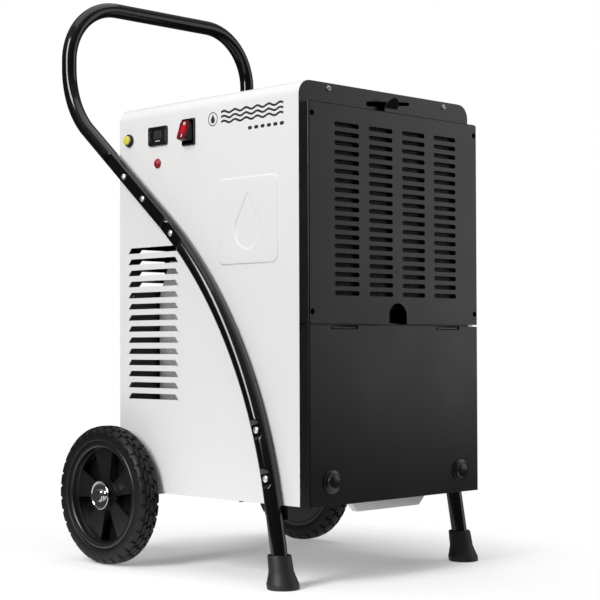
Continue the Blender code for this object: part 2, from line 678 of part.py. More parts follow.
def build_fan_shroud():
    plate = [(-0.2145, DECK_Z + GAP), (0.2145, DECK_Z + GAP), (0.2145, 0.8150), (0.1970, 0.8325),
             (-0.1970, 0.8325), (-0.2145, 0.8150)]
    front = -0.1045
    bm = prism(plate, "Y", front, front + SHEET)
    ring = lathe([(RING_R, front), (RING_R + 0.002, front), (RING_R + 0.002, -0.0700), (RING_R, -0.0700)],
                 "Y", (0, FAN_Z), 32, closed=True)
    bm = cut(bm, cylinder("Y", (0, FAN_Z), RING_R + 0.001, front - 0.01, front + 0.01, 32),
             cylinder("Y", PIPE_HOLE_RIGHT, 0.009, front - 0.01, front + 0.01, 12),
             cylinder("Y", PIPE_HOLE_LEFT, 0.009, front - 0.01, front + 0.01, 12))
    bm = join(bm, ring)
    node("fan_shroud", bm, "galvanised", smooth=30)


def build_fan():
    """Hub with its motor shaft, and five pitched blades."""
    profile = [(0, -0.0995), (0.030, -0.0995), (0.035, -0.0945), (0.035, -0.0580), (0.0040, -0.0580),
               (0.0040, -0.0250), (0, -0.0250)]
    bm = lathe(profile, "Y", (0, FAN_Z), 20)
    stations = ((0.031, 0.022, 42), (0.080, 0.036, 32), (FAN_R, 0.044, 24))
    blades = []
    for number in range(5):
        turn = 2 * math.pi * number / 5
        radial = Vector((math.sin(turn), 0, math.cos(turn)))
        across = Vector((math.cos(turn), 0, -math.sin(turn)))
        axial = Vector((0, 1, 0))
        blade = bmesh.new()
        rings = []
        for radius, half_chord, pitch in stations:
            pitch = math.radians(pitch)
            chord = math.cos(pitch) * across + math.sin(pitch) * axial
            face = math.cos(pitch) * axial - math.sin(pitch) * across
            middle = Vector((0, FAN_Y, FAN_Z)) + radius * radial
            rings.append([blade.verts.new(middle + a * half_chord * chord + b * 0.00125 * face)
                          for a, b in ((-1, -1), (1, -1), (1, 1), (-1, 1))])
        for lower, upper in zip(rings, rings[1:]):
            for k in range(4):
                blade.faces.new((lower[k], lower[(k + 1) % 4], upper[(k + 1) % 4], upper[k]))
        blade.faces.new(rings[0])
        blade.faces.new(rings[-1])
        bmesh.ops.recalc_face_normals(blade, faces=blade.faces)
        blades.append(blade)
    for blade in blades:
        bm = join(bm, blade)
    node("fan", bm, "black_plastic", (0, FAN_Y, FAN_Z), smooth=30)


def build_fan_motor():
    profile = [(0.0044, -0.0540), (0.036, -0.0540), (0.045, -0.0460), (0.045, 0.0020), (0.034, 0.0100),
               (0, 0.0100), (0, -0.0220), (0.0044, -0.0220)]
    bm = lathe(profile, "Y", (0, FAN_Z), 24, closed=True)
    node("fan_motor", bm, "motor_paint", smooth=30)


def build_motor_bracket():
    low_z, high_z = FAN_Z - 0.016, FAN_Z + 0.016
    bm = box((-0.1640, 0.0103, low_z), (0.1640, 0.0125, high_z))
    for sign in (-1, 1):
        near, far = sorted((sign * 0.1618, sign * 0.1640))
        foot = sorted((sign * 0.1618, sign * 0.1800))
        bm = join(bm, box((near, -0.1027, low_z), (far, 0.0115, high_z)),
                  box((foot[0], -0.1027, low_z), (foot[1], -0.1007, high_z)))
    node("motor_bracket", bm, "galvanised")


def build_compressor():
    body = [(0, 0.1600), (0.040, 0.1610), (0.056, 0.1680), (0.058, 0.1780), (0.058, 0.3800), (0.054, 0.3940),
            (0.036, 0.4050), (0, 0.4090)]
    bm = lathe(body, "Z", (0, COMPRESSOR_Y), 24)
    plate = circle((0, COMPRESSOR_Y), 0.085, 3, math.radians(90))
    bm = join(bm, prism(plate, "Z", 0.1570, 0.1600 + 0.0012))
    for x, y in plate:
        foot = (x * 0.86, COMPRESSOR_Y + (y - COMPRESSOR_Y) * 0.86)
        bm = join(bm, cylinder("Z", foot, 0.008, BOTTOM + SHEET + GAP, 0.1575, 10))
    accumulator = [(0, 0.2050), (0.016, 0.2080), (0.021, 0.2150), (0.021, 0.3450), (0.016, 0.3530),
                   (0, 0.3560)]
    bm = join(bm, lathe(accumulator, "Z", (0.086, COMPRESSOR_Y), 16),
              box((0.050, COMPRESSOR_Y - 0.008, 0.2900), (0.072, COMPRESSOR_Y + 0.008, 0.3080)),
              cylinder("Y", (0, 0.3300), 0.020, COMPRESSOR_Y - 0.075, COMPRESSOR_Y - 0.050, 12))
    bm = cut(bm, cylinder("Z", (0, COMPRESSOR_Y), 0.038, 0.1500, 0.3850, 20))
    node("compressor", bm, "motor_paint", smooth=35)


def rounded_route(corners, radius=0.012, steps=3):
    """Straight runs through the corners, each corner rounded."""
    points = [Vector(corners[0])]
    for before, corner, after in zip(corners, corners[1:], corners[2:]):
        points += bend(before, corner, after, radius, steps)
    return points + [Vector(corners[-1])]


def build_pipes():
    x, z = PIPE_HOLE_RIGHT
    suction = [(0.086, COMPRESSOR_Y, 0.3563), (0.086, COMPRESSOR_Y, z), (x, COMPRESSOR_Y, z),
               (x, -0.2040, z)]
    node("suction_pipe", sweep(rounded_route(suction), 0.0060, 8), "copper", smooth=40)
    x, z = PIPE_HOLE_LEFT
    discharge = [(0, COMPRESSOR_Y, 0.4093), (0, COMPRESSOR_Y, z), (x, COMPRESSOR_Y, z), (x, -0.1530, z)]
    node("discharge_pipe", sweep(rounded_route(discharge), 0.0045, 8), "copper", smooth=40)


# ---------------------------------------------------------------- filter, tank and door
def build_air_filter():
    low, high = (-0.1850, -0.2505, 0.4584), (0.1850, -0.2405, 0.7900)
    bm = box(low, high)
    rim = 0.012
    for x0, x1 in ((low[0] + rim, -0.004), (0.004, high[0] - rim)):
        for y0, y1 in ((low[1] - 0.01, -0.2463), (-0.2447, high[1] + 0.01)):
            bm = cut(bm, box((x0, y0, low[2] + rim), (x1, y1, high[2] - rim)))
    tab = [(-0.021, 0.7890), (0.011, 0.7890), (0.011, 0.8080)]
    tab += arc((-0.005, 0.8080), 0.016, 20, 160, 6) + [(-0.021, 0.8080)]
    side_view = [(-0.2460, 0.7880), (-0.2460, 0.8065), (-0.2572, 0.8250), (-0.2592, 0.8250),
                 (-0.2480, 0.8065), (-0.2480, 0.7880)]
    bent_tab = boolean(prism(tab, "Y", -0.2600, -0.2400), prism(side_view, "X", -0.0200, 0.0200), "INTERSECT")
    bm = join(bm, bent_tab)
    node("air_filter", bm, "dark_filter", (0, -0.2455, low[2]))


def build_tank():
    wall = 0.0025
    chamfer = 0.016
    bm = box((-TANK_HALF_W, TANK_FRONT, TANK_FLOOR), (TANK_HALF_W, TANK_REAR, TANK_TOP))
    bm = cut(bm, box((wall - TANK_HALF_W, TANK_FRONT + wall, TANK_FLOOR + wall),
                     (TANK_HALF_W - wall, TANK_REAR - wall, TANK_TOP + 0.01)))
    lip = [(-LIP_HALF_W + chamfer, LIP_BOTTOM), (LIP_HALF_W - chamfer, LIP_BOTTOM),
           (LIP_HALF_W, LIP_BOTTOM + chamfer), (LIP_HALF_W, TANK_FLOOR + wall / 2),
           (-LIP_HALF_W, TANK_FLOOR + wall / 2), (-LIP_HALF_W, LIP_BOTTOM + chamfer)]
    bm = join(bm, prism(lip, "Y", TANK_FRONT, LIP_REAR))
    bm = join(bm, cylinder("Z", FLOAT_PLACE, 0.004, TANK_FLOOR + wall / 2, 0.2720, 10))
    for sign in (-1, 1):
        low, high = sorted((sign * (TANK_HALF_W - wall / 2), sign * (TANK_HALF_W + 0.0030)))
        bm = join(bm, cylinder("X", BAIL_PIVOT, 0.0040, low, high, 10))
    node("tank", bm, "tank_plastic", (0, TANK_FRONT, TANK_FLOOR))


def build_tank_handle():
    """U-shaped bail: two flat arms beside the tank and a round bar in front of it."""
    inner, outer = TANK_HALF_W + GAP, TANK_HALF_W + 0.0028
    arms = []
    for sign in (-1, 1):
        low, high = sorted((sign * inner, sign * outer))
        outline = arc(BAIL_PIVOT, 0.009, -90, 90, 6) + [(BAIL_GRIP_Y, 0.2680), (BAIL_GRIP_Y, 0.2560)]
        arm = prism(outline, "X", low, high)
        arms.append(cut(arm, cylinder("X", BAIL_PIVOT, 0.0043, low - 0.01, high + 0.01, 10)))
    bar = cylinder("X", (BAIL_GRIP_Y + 0.001, 0.2620), 0.0055, -outer + 0.0002, outer - 0.0002, 12)
    bm = join(bar, *arms)
    node("tank_handle", bm, "black_plastic", (0, *BAIL_PIVOT), smooth=30)


def build_tank_float():
    floor = TANK_FLOOR + 0.0025 + GAP
    profile = [(0.0046, floor), (0.0280, floor), (0.0300, floor + 0.002), (0.0300, floor + 0.020),
               (0.0280, floor + 0.022), (0.0046, floor + 0.022)]
    bm = lathe(profile, "Z", FLOAT_PLACE, 20, closed=True)
    node("tank_float", bm, "yellow_plastic", (*FLOAT_PLACE, floor), smooth=40)


def build_tank_door():
    face, rear = COVER_FACE, FRONT - 2 * GAP
    bm = box((-HALF_W, face, BOTTOM), (HALF_W, rear, DOOR_TOP))
    bm = cut(bm, box((-HALF_W + SHEET, face + SHEET, BOTTOM + SHEET),
                     (HALF_W - SHEET, rear + 0.01, DOOR_TOP - SHEET)))
    for sign in (-1, 1):
        low, high = sorted((sign * (TONGUE_LOW - 0.004), sign * (TONGUE_HIGH + 0.004)))
        bm = cut(bm, box((low, face - 0.01, DOOR_TOP - 0.0062), (high, rear + 0.01, DOOR_TOP + 0.01)))
        bm = cut(bm, cylinder("Y", (sign * KNOB_X, KNOB_Z), 0.0048, face - 0.01, face + 0.01, 12))
    node("tank_door", bm, "black_paint", (0, *HINGE))


def build_door_knobs():
    face = COVER_FACE - GAP
    tip = COVER_FACE - KNOB_HEIGHT
    profile = [(0, FRONT + 0.006), (0.0035, FRONT + 0.006), (0.0042, FRONT + 0.004),
               (0.0042, COVER_FACE + 0.0040), (0.0090, COVER_FACE + 0.0040), (0.0090, COVER_FACE + SHEET + GAP),
               (0.0042, COVER_FACE + SHEET + GAP), (0.0042, face), (0.0200, face), (0.0190, face - 0.003),
               (0.0125, tip), (0.0110, tip + 0.0015), (0, tip + 0.0015)]
    for sign, side in ((-1, "left"), (1, "right")):
        place = (sign * KNOB_X, KNOB_Z)
        node(f"door_knob_{side}", lathe(profile, "Y", place, 20), "black_plastic",
             (place[0], COVER_FACE, place[1]), smooth=35)


# ---------------------------------------------------------------- wheels
def wheel_profile(points, sign):
    """Turn offsets from the wheel's middle into positions along X."""
    return [(r, sign * (WHEEL_X + u)) for r, u in points]


def build_wheels():
    tyre = [(RIM_R + GAP, -0.0190), (0.1080, -WHEEL_HALF), (0.1190, -0.0200), (0.1250, -0.0150),
            (WHEEL_R, -0.0090), (WHEEL_R, 0.0090), (0.1250, 0.0150), (0.1190, 0.0200),
            (0.1080, WHEEL_HALF), (RIM_R + GAP, 0.0190)]
    rim = [(AXLE_R + GAP, -0.0190), (0.0180, -0.0190), (0.0240, 0.0010), (0.0870, 0.0010), (0.0900, -0.0170),
           (RIM_R, -0.0170), (RIM_R, 0.0185), (0.0910, 0.0185), (0.0880, 0.0060), (0.0260, 0.0060),
           (0.0260, 0.0120), (AXLE_R + GAP, 0.0120)]
    for sign, side in ((-1, "left"), (1, "right")):
        pivot = (sign * WHEEL_X, WHEEL_Y, WHEEL_R)
        middle = (WHEEL_Y, WHEEL_R)
        node(f"tyre_{side}", lathe(wheel_profile(tyre, sign), "X", middle, 32, closed=True), "tyre",
             pivot, smooth=40)
        bm = lathe(wheel_profile(rim, sign), "X", middle, 32, closed=True)
        low, high = sorted((sign * (WHEEL_X - 0.004), sign * (WHEEL_X + 0.010)))
        windows = []
        for spoke in range(5):
            aim = 120 + 72 * spoke
            outline = arc(middle, 0.0860, aim - 15, aim + 15, 4) + arc(middle, 0.0290, aim + 15, aim - 15, 2)
            windows.append(prism(outline, "X", low, high))
        disc = [(0.0170, -0.0175), (0.0895, -0.0175), (0.0895, -0.0155), (0.0170, -0.0155)]
        back = lathe(wheel_profile(disc, sign), "X", middle, 32, closed=True)
        node(f"wheel_rim_{side}", join(cut(bm, *windows), back), "rim_plastic", pivot, smooth=40)


def build_axle():
    bm = cylinder("X", (WHEEL_Y, WHEEL_R), AXLE_R, -AXLE_HALF, AXLE_HALF, 20)
    node("axle", bm, "zinc", (0, WHEEL_Y, WHEEL_R), smooth=40)
    start = WHEEL_X + 0.0120 + GAP
    profile = [(AXLE_R + GAP, start), (0.0240, start), (0.0250, start + 0.0020), (0.0250, start + 0.0100),
               (0.0225, start + 0.0130), (0.0200, start + 0.0130), (0.0180, start + 0.0090),
               (0.0110, start + 0.0100), (AXLE_R + GAP, start + 0.0100)]
    for sign, side in ((-1, "left"), (1, "right")):
        bm = lathe([(r, sign * x) for r, x in profile], "X", (WHEEL_Y, WHEEL_R), 24, closed=True)
        node(f"hub_cap_{side}", bm, "chrome", (sign * start, WHEEL_Y, WHEEL_R), smooth=40)


# ---------------------------------------------------------------- controls on the left side


def build_control_box():
    low, high = (-HALF_W + 0.0020, 0.0080, 0.6900), (-0.1500, 0.2260, 0.8120)
    bm = box(low, high)
    bm = cut(bm, box((low[0] - 0.01, low[1] + SHEET, low[2] + SHEET),
                     (high[0] - SHEET, high[1] - SHEET, high[2] - SHEET)))
    z = SCREW_HEIGHTS[-1]            # the topmost screw reaches into the box
    bm = cut(bm, cylinder("X", (tube_y(z), z), 0.0050, low[0] - 0.01, low[0] + 0.02))
    node("control_box", bm, "galvanised")


def build_push_button():
    profile = [(0.0066, SIDE + 0.0180), (0.0078, SIDE + 0.0180), (0.0078, SIDE), (0.0115, SIDE),
               (0.0115, SIDE - 0.0040), (0.0105, SIDE - 0.0058), (0.0088, SIDE - 0.0058),
               (0.0088, SIDE - 0.0018), (0.0066, SIDE - 0.0018)]
    bm = lathe(profile, "X", BUTTON_PLACE, 20, closed=True)
    node("button_bezel", bm, "black_plastic", smooth=35)
    cap = [(0, SIDE - 0.0095), (0.0070, SIDE - 0.0095), (0.0083, SIDE - 0.0080), (0.0083, SIDE - 0.0052),
           (0.0060, SIDE - 0.0052), (0.0060, SIDE + 0.0120), (0, SIDE + 0.0120)]
    bm = lathe(cap, "X", BUTTON_PLACE, 20)
    node("push_button", bm, "yellow_plastic", (SIDE, *BUTTON_PLACE), smooth=35)


def build_hour_meter():
    bm = prism(rounded_rectangle(METER_LOW, METER_HIGH, 0.003), "X", SIDE - 0.0040, SIDE)
    low, high = inset_box(METER_LOW, METER_HIGH, 0.0036)
    bm = join(bm, box((SIDE - 0.0005, *low), (-0.1950, *high)))
    window_low, window_high = (0.1100, 0.7680), (0.1375, 0.7870)
    bm = cut(bm, box((SIDE - 0.005, *window_low), (SIDE - 0.0020, *window_high)))
    node("hour_meter", bm, "black_plastic")
    low, high = inset_box(window_low, window_high, GAP)
    node("hour_meter_window", box((SIDE - 0.0034, *low), (SIDE - 0.0023, *high)), "window")


def build_lamp():
    profile = [(0, SIDE - 0.0062), (0.0045, SIDE - 0.0055), (0.0072, SIDE - 0.0030), (0.0087, SIDE - 0.0022),
               (0.0087, SIDE), (0.0068, SIDE), (0.0068, -0.1960), (0, -0.1960)]
    node("indicator_lamp", lathe(profile, "X", LAMP_PLACE, 20), "lamp_red", smooth=40)


def build_power_switch():
    bm = prism(rounded_rectangle(SWITCH_LOW, SWITCH_HIGH, 0.003), "X", SIDE - 0.0030, SIDE)
    low, high = inset_box(SWITCH_LOW, SWITCH_HIGH, 0.0020)
    bm = join(bm, box((SIDE - 0.0005, *low), (-0.1930, *high)))
    low, high = inset_box(SWITCH_LOW, SWITCH_HIGH, 0.0035)
    bm = cut(bm, box((SIDE - 0.01, *low), (-0.1950, *high)))
    node("power_switch_base", bm, "black_plastic")
    half_width = 0.0125
    face = [(-0.0180, 0.0095), (-0.0090, 0.0086), (0, 0.0083), (0.0090, 0.0086), (0.0180, 0.0095)]
    belly = arc((0, 0), 0.0165, -20, -160, 6)
    outline = face[::-1] + [(-0.0178, 0.0030)] + [(z, u) for z, u in reversed(belly)] + [(0.0178, 0.0030)]
    tilt = math.radians(ROCKER_TILT)
    placed = []
    for z, u in outline:
        x = -(u * math.cos(tilt) - z * math.sin(tilt))
        placed.append((ROCKER_PIVOT[0] + x, ROCKER_PIVOT[1] + z * math.cos(tilt) + u * math.sin(tilt)))
    bm = prism(placed, "Y", SWITCH_MIDDLE[0] - half_width, SWITCH_MIDDLE[0] + half_width)
    node("power_rocker", bm, "red_plastic", (ROCKER_PIVOT[0], SWITCH_MIDDLE[0], ROCKER_PIVOT[1]), smooth=30)


# ---------------------------------------------------------------- build everything
build_tube_frame()
build_tube_screws()
build_feet()
build_housing()
build_back_panel()
build_cable_gland()
build_front_plate()
build_plate_screws()
build_grille_cover()
build_cover_screws()
build_base_pan()
build_mid_deck()
build_partition()
build_coil("evaporator", -0.2220, -0.1860, "aluminium", ((0.500, 0.560, 0.620, 0.680, 0.740), (0.470, 0.780)))
build_coil("condenser", -0.1760, -0.1300, "aluminium", ((0.480, 0.780), (0.520, 0.600, 0.680, 0.740)))
build_drip_tray()
build_fan_shroud()
build_fan()
build_fan_motor()
build_motor_bracket()
build_compressor()
build_pipes()
build_air_filter()
build_tank()
build_tank_handle()
build_tank_float()
build_tank_door()
build_door_knobs()
build_wheels()
build_axle()
build_control_box()
build_push_button()
build_hour_meter()
build_lamp()
build_power_switch()
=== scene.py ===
"""Looks of the portable dehumidifier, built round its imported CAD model.

Shapes are written in the cabinet's frame: metres, X = 0 on the centre plane, Y = 0 halfway through
the cabinet and Z = 0 on the floor. make() moves every new piece from there into the world's frame.
"""
import math

import bmesh
import bpy
from mathutils import Matrix, Vector


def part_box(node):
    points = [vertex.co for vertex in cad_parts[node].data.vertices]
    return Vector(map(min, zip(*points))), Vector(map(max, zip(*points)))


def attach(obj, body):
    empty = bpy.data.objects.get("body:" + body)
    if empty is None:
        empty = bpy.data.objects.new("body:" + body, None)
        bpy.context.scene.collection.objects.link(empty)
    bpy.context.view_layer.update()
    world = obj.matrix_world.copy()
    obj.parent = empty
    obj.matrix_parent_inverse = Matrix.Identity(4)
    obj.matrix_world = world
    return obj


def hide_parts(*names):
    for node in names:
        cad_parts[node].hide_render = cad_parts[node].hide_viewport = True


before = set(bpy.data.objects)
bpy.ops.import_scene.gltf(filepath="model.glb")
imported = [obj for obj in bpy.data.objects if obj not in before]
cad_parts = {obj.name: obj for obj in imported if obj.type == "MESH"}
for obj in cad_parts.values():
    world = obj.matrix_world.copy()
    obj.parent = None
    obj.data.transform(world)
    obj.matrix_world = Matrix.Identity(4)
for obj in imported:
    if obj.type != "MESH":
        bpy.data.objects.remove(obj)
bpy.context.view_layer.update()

# ------------------------ the CAD's own dimensions
GAP = 0.0003                      # between touching solids
SHEET = 0.0015                    # sheet metal thickness
HALF_W = 0.217                    # cabinet half width
FRONT, BACK = -0.2365, 0.2365     # front and back of the cabinet
BOTTOM, TOP = 0.134, 0.8355
TOP_RADIUS = 0.025
COVER_FACE = -0.2575              # front of the grille cover and of the door
COVER_TOP, COVER_BOTTOM, DOOR_TOP = 0.7965, 0.4335, 0.4305
TUBE_R = 0.014
TUBE_X = HALF_W + TUBE_R + GAP
LEG_FOOT, LEG_CORNER = (-0.209, 0.008), (-0.1327, 0.4351)
HANDLE_CORNER, GRIP_Z = (0.3736, 0.853), 1.0557
LEG_BEND_R, HANDLE_BEND_R, GRIP_BEND_R = 0.81, 0.163, 0.113
SCREW_HEIGHTS = (0.178, 0.2575, 0.596, 0.662, 0.706)
WHEEL_X, WHEEL_Y, WHEEL_R = 0.249, 0.23, 0.126
RIM_R, AXLE_R = 0.0985, 0.0075
KNOB_X, KNOB_Z = 0.165, 0.173
COVER_SCREWS = [(x, z) for z in (0.453, 0.778) for x in (-0.209, 0.209)]
PLATE_SCREW_X, PLATE_SCREW_Z = 0.1485, 0.8262

SIDES = ((-1, "left"), (1, "right"))

axle_low, axle_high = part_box("axle")
SHIFT = Vector((0, (axle_low[1] + axle_high[1]) / 2 - WHEEL_Y, 0))   # cabinet frame to world


# ------------------------ materials
MATERIAL = {}
SPANGLE_SCALE, SPECKLE_SCALE = 180.0, 900.0     # zinc flowers on sheet, and specks in rubber


def node_tools(tree):
    """Two helpers for a node tree: add() makes a node, remap() takes a value from one range to another."""
    def add(kind, **settings):
        made = tree.nodes.new(kind)
        for key, value in settings.items():
            if key in made.inputs:
                made.inputs[key].default_value = value
            else:
                setattr(made, key, value)
        return made

    def remap(value, source, target, **settings):
        made = add("ShaderNodeMapRange", **settings)
        for name, number in zip(("From Min", "From Max", "To Min", "To Max"), (*source, *target)):
            made.inputs[name].default_value = number
        tree.links.new(value, made.inputs["Value"])
        return made.outputs["Result"]

    return add, remap


def new_material(name, **shader_inputs):
    """A Principled material, its node helpers, links and shader; Base_Color sets the Base Color input."""
    mat = bpy.data.materials.new(name)
    mat.use_nodes = True
    tree = mat.node_tree
    shader = tree.nodes["Principled BSDF"]
    for key, value in shader_inputs.items():
        shader.inputs[key.replace("_", " ")].default_value = value
    return mat, *node_tools(tree), tree.links, shader


def grey(value):
    """A neutral colour."""
    return (value, value, value)


def finish(name, colour, roughness, metallic=0.0, tone=0.08, tone_scale=9.0, uneven=0.12, grain=None,
           coat=0.0, specular=0.5, speckle=0.0, streaks=None, spangle=0.0):
    """Paint, plastic, rubber or metal: tone and gloss drift over it; grain is a bump's (depth, scale)."""
    mat, add, remap, links, shader = new_material(name, Metallic=metallic, Specular_IOR_Level=specular,
                                                  Coat_Weight=coat, Coat_Roughness=0.06)
    place = add("ShaderNodeTexCoord").outputs["Object"]
    grain_place = place
    if streaks:
        stretch = add("ShaderNodeMapping", Scale=streaks)
        links.new(place, stretch.inputs["Vector"])
        grain_place = stretch.outputs["Vector"]
    drift = add("ShaderNodeTexNoise", Scale=tone_scale, Detail=4.0, Roughness=0.55)
    links.new(place, drift.inputs["Vector"])
    fine = add("ShaderNodeTexNoise", Scale=grain[1] if grain else 700, Detail=2.0, Roughness=0.5)
    links.new(grain_place, fine.inputs["Vector"])
    mix = add("ShaderNodeMix", data_type="RGBA")
    share = {"A": 1 - tone, "B": 1 + tone}
    for socket in mix.inputs:
        if socket.type == "RGBA":
            socket.default_value = (*[min(1, c * share[socket.name]) for c in colour], 1)
    links.new(drift.outputs["Fac"], mix.inputs["Factor"])
    colour_out = [s for s in mix.outputs if s.type == "RGBA"][0]
    flecks = spangle or speckle
    if flecks:
        cells = add("ShaderNodeTexVoronoi", Scale=SPANGLE_SCALE if spangle else SPECKLE_SCALE)
        links.new(place, cells.inputs["Vector"])
        times = add("ShaderNodeVectorMath", operation="SCALE")
        links.new(colour_out, times.inputs[0])
        links.new(remap(cells.outputs["Color"], (0, 1), (1 - flecks, 1 + flecks)), times.inputs["Scale"])
        colour_out = times.outputs["Vector"]
    links.new(colour_out, shader.inputs["Base Color"])
    gloss = remap((fine if streaks else drift).outputs["Fac"], (0.3, 0.7),
                  (roughness * (1 - uneven), min(1, roughness * (1 + uneven))))
    links.new(gloss, shader.inputs["Roughness"])
    if grain:
        bump = add("ShaderNodeBump", Strength=1.0, Distance=grain[0])
        links.new(fine.outputs["Fac"], bump.inputs["Height"])
        links.new(bump.outputs["Normal"], shader.inputs["Normal"])
    MATERIAL[name] = mat


finish("white_paint", (0.78, 0.78, 0.775), 0.36, tone=0.008, grain=(0.00003, 520))
finish("black_paint", grey(0.0046), 0.3, grain=(0.00003, 900))
finish("tube_paint", grey(0.002), 0.14, grain=(0.00001, 300), coat=0.05)
finish("rubber", grey(0.0085), 0.52, tone=0.15, grain=(0.00012, 1500), speckle=0.12)
finish("tyre", (0.0035, 0.0035, 0.0038), 0.5, specular=0.38, tone=0.18, tone_scale=30,
       grain=(0.0001, 1300), speckle=0.1)
finish("rim_plastic", grey(0.0085), 0.3, grain=(0.00005, 1100))
finish("tank_plastic", (0.9, 0.905, 0.91), 0.42, tone=0.03, grain=(0.00005, 800))
finish("black_plastic", grey(0.007), 0.26, grain=(0.00005, 1400))
finish("dark_filter", (0.003, 0.003, 0.0033), 0.55, specular=0.2, grain=(0.0001, 1500))
finish("galvanised", (0.68, 0.69, 0.7), 0.45, metallic=0.3, spangle=0.1, uneven=0.25)
finish("zinc", (0.86, 0.86, 0.87), 0.42, metallic=1.0, tone=0.06, grain=(0.00003, 1800))
finish("chrome", (0.58, 0.58, 0.59), 0.12, metallic=1.0, tone=0.04, uneven=0.5)
finish("aluminium", (0.66, 0.67, 0.68), 0.34, metallic=1.0, grain=(0.00005, 500),
       streaks=(1, 1, 0.05))
finish("copper", (0.72, 0.36, 0.22), 0.28, metallic=1.0, tone=0.15, tone_scale=25)
finish("motor_paint", (0.03, 0.03, 0.033), 0.4, grain=(0.0001, 600))
# Painted glow: this bright red stands in for light shining through the middle of the rocker's lens.
finish("red_plastic", (0.46, 0.002, 0.011), 0.22, tone=0.05, specular=0.35, grain=(0.00001, 700))
finish("rocker_frame", (0.006, 0.001, 0.0013), 0.22, specular=0.25, grain=(0.00001, 700))
# Painted shade: this darker red of the lens stands in for the shade round the lens's lit middle.
finish("shaded_lens_red", (0.14, 0.0012, 0.006), 0.2, tone=0.05, specular=0.35, grain=(0.00001, 700))
finish("lamp_red", (0.3, 0.01, 0.026), 0.38, tone=0.06, grain=(0.00002, 700))
finish("yellow_plastic", (0.68, 0.62, 0.085), 0.34, tone=0.05, grain=(0.00004, 700))
finish("window", (0.03, 0.035, 0.033), 0.16, coat=0.4, grain=(0.00001, 700))
finish("strand", (0.034, 0.034, 0.036), 0.45, tone=0.3, tone_scale=60, grain=(0.00002, 700))
finish("print_ink", (0.028, 0.029, 0.03), 0.38, tone=0.1, grain=(0.00003, 700))
finish("white_ink", grey(0.8), 0.45, tone=0.02, grain=(0.00002, 700))


# ------------------------ mesh helpers
def box(low, high):
    """An axis-aligned box between two corners."""
    bm = bmesh.new()
    size = [high[i] - low[i] for i in range(3)]
    middle = [(high[i] + low[i]) / 2 for i in range(3)]
    bmesh.ops.create_cube(bm, size=1, matrix=Matrix.Translation(middle) @ Matrix.Diagonal((*size, 1)))
    return bm


def skin(bm, rings, caps=(), closed=False):
    """Cover rings of verts with faces; closed joins the last ring to the first."""
    for ring in caps:
        bm.faces.new(ring)
    count = len(rings[0])
    for lower, upper in list(zip(rings, rings[1:])) + [(rings[-1], rings[0])] * closed:
        for i in range(count):
            j = (i + 1) % count
            corners = list(dict.fromkeys((lower[i], lower[j], upper[j], upper[i])))
            if len(corners) > 2:
                bm.faces.new(corners)
    bmesh.ops.recalc_face_normals(bm, faces=bm.faces)
    return bm


def prism(outline, axis, low, high):
    """Extrude an outline along X, Y or Z; its two values are the other two axes in order."""
    place = {"X": lambda p, h: (h, p[0], p[1]), "Y": lambda p, h: (p[0], h, p[1]),
             "Z": lambda p, h: (p[0], p[1], h)}[axis]
    bm = bmesh.new()
    rings = [[bm.verts.new(place(p, h)) for p in outline] for h in (low, high)]
    return skin(bm, rings, rings)


def arc(centre, radius, start, end, steps):
    """Points of an arc from start to end, in degrees, both ends included."""
    angles = [math.radians(start + (end - start) * i / steps) for i in range(steps + 1)]
    return [(centre[0] + radius * math.cos(a), centre[1] + radius * math.sin(a)) for a in angles]


def circle(centre, radius, count):
    """Points of a full circle."""
    return arc(centre, radius, 0, 360, count)[:-1]


def rounded_rectangle(low, high, radius, steps=8):
    """Outline of a rectangle with round corners, counter-clockwise."""
    corners = (((high[0] - radius, low[1] + radius), -90), ((high[0] - radius, high[1] - radius), 0),
               ((low[0] + radius, high[1] - radius), 90), ((low[0] + radius, low[1] + radius), 180))
    return [p for centre, start in corners for p in arc(centre, radius, start, start + 90, steps)]


def cylinder(axis, centre, radius, low, high, count=32):
    """A straight round pin along an axis."""
    return prism(circle(centre, radius, count), axis, low, high)


NO_RADIUS = 1e-7                  # a lathe profile's point on its axis


def lathe(profile, axis, centre, count, closed=False, ripple=None):
    """Turn (radius, height) points about an axis. ripple(i, radius, height) changes a radius."""
    place = {"X": lambda a, b, h: (h, centre[0] + a, centre[1] + b),
             "Y": lambda a, b, h: (centre[0] + a, h, centre[1] + b),
             "Z": lambda a, b, h: (centre[0] + a, centre[1] + b, h)}[axis]
    bm = bmesh.new()
    rings = []
    for radius, height in profile:
        if radius <= NO_RADIUS:
            rings.append([bm.verts.new(place(0, 0, height))] * count)
            continue
        ring = []
        for i in range(count):
            a = 2 * math.pi * i / count
            r = ripple(i, radius, height) if ripple else radius
            ring.append(bm.verts.new(place(r * math.cos(a), r * math.sin(a), height)))
        rings.append(ring)
    caps = [] if closed else [rings[k] for k in (0, -1) if profile[k][0] > NO_RADIUS]
    return skin(bm, rings, caps, closed)


def mesh_of(bm, name="scratch"):
    """Turn a bmesh into a mesh and free it."""
    mesh = bpy.data.meshes.new(name)
    bm.to_mesh(mesh)
    bm.free()
    return mesh


def linked_object(name, data):
    """A new object in the scene."""
    obj = bpy.data.objects.new(name, data)
    bpy.context.collection.objects.link(obj)
    return obj


def combine(shapes):
    """Put several shapes into one mesh without joining them."""
    whole = bmesh.new()
    for bm in shapes:
        mesh = mesh_of(bm)
        whole.from_mesh(mesh)
        bpy.data.meshes.remove(mesh)
    return whole


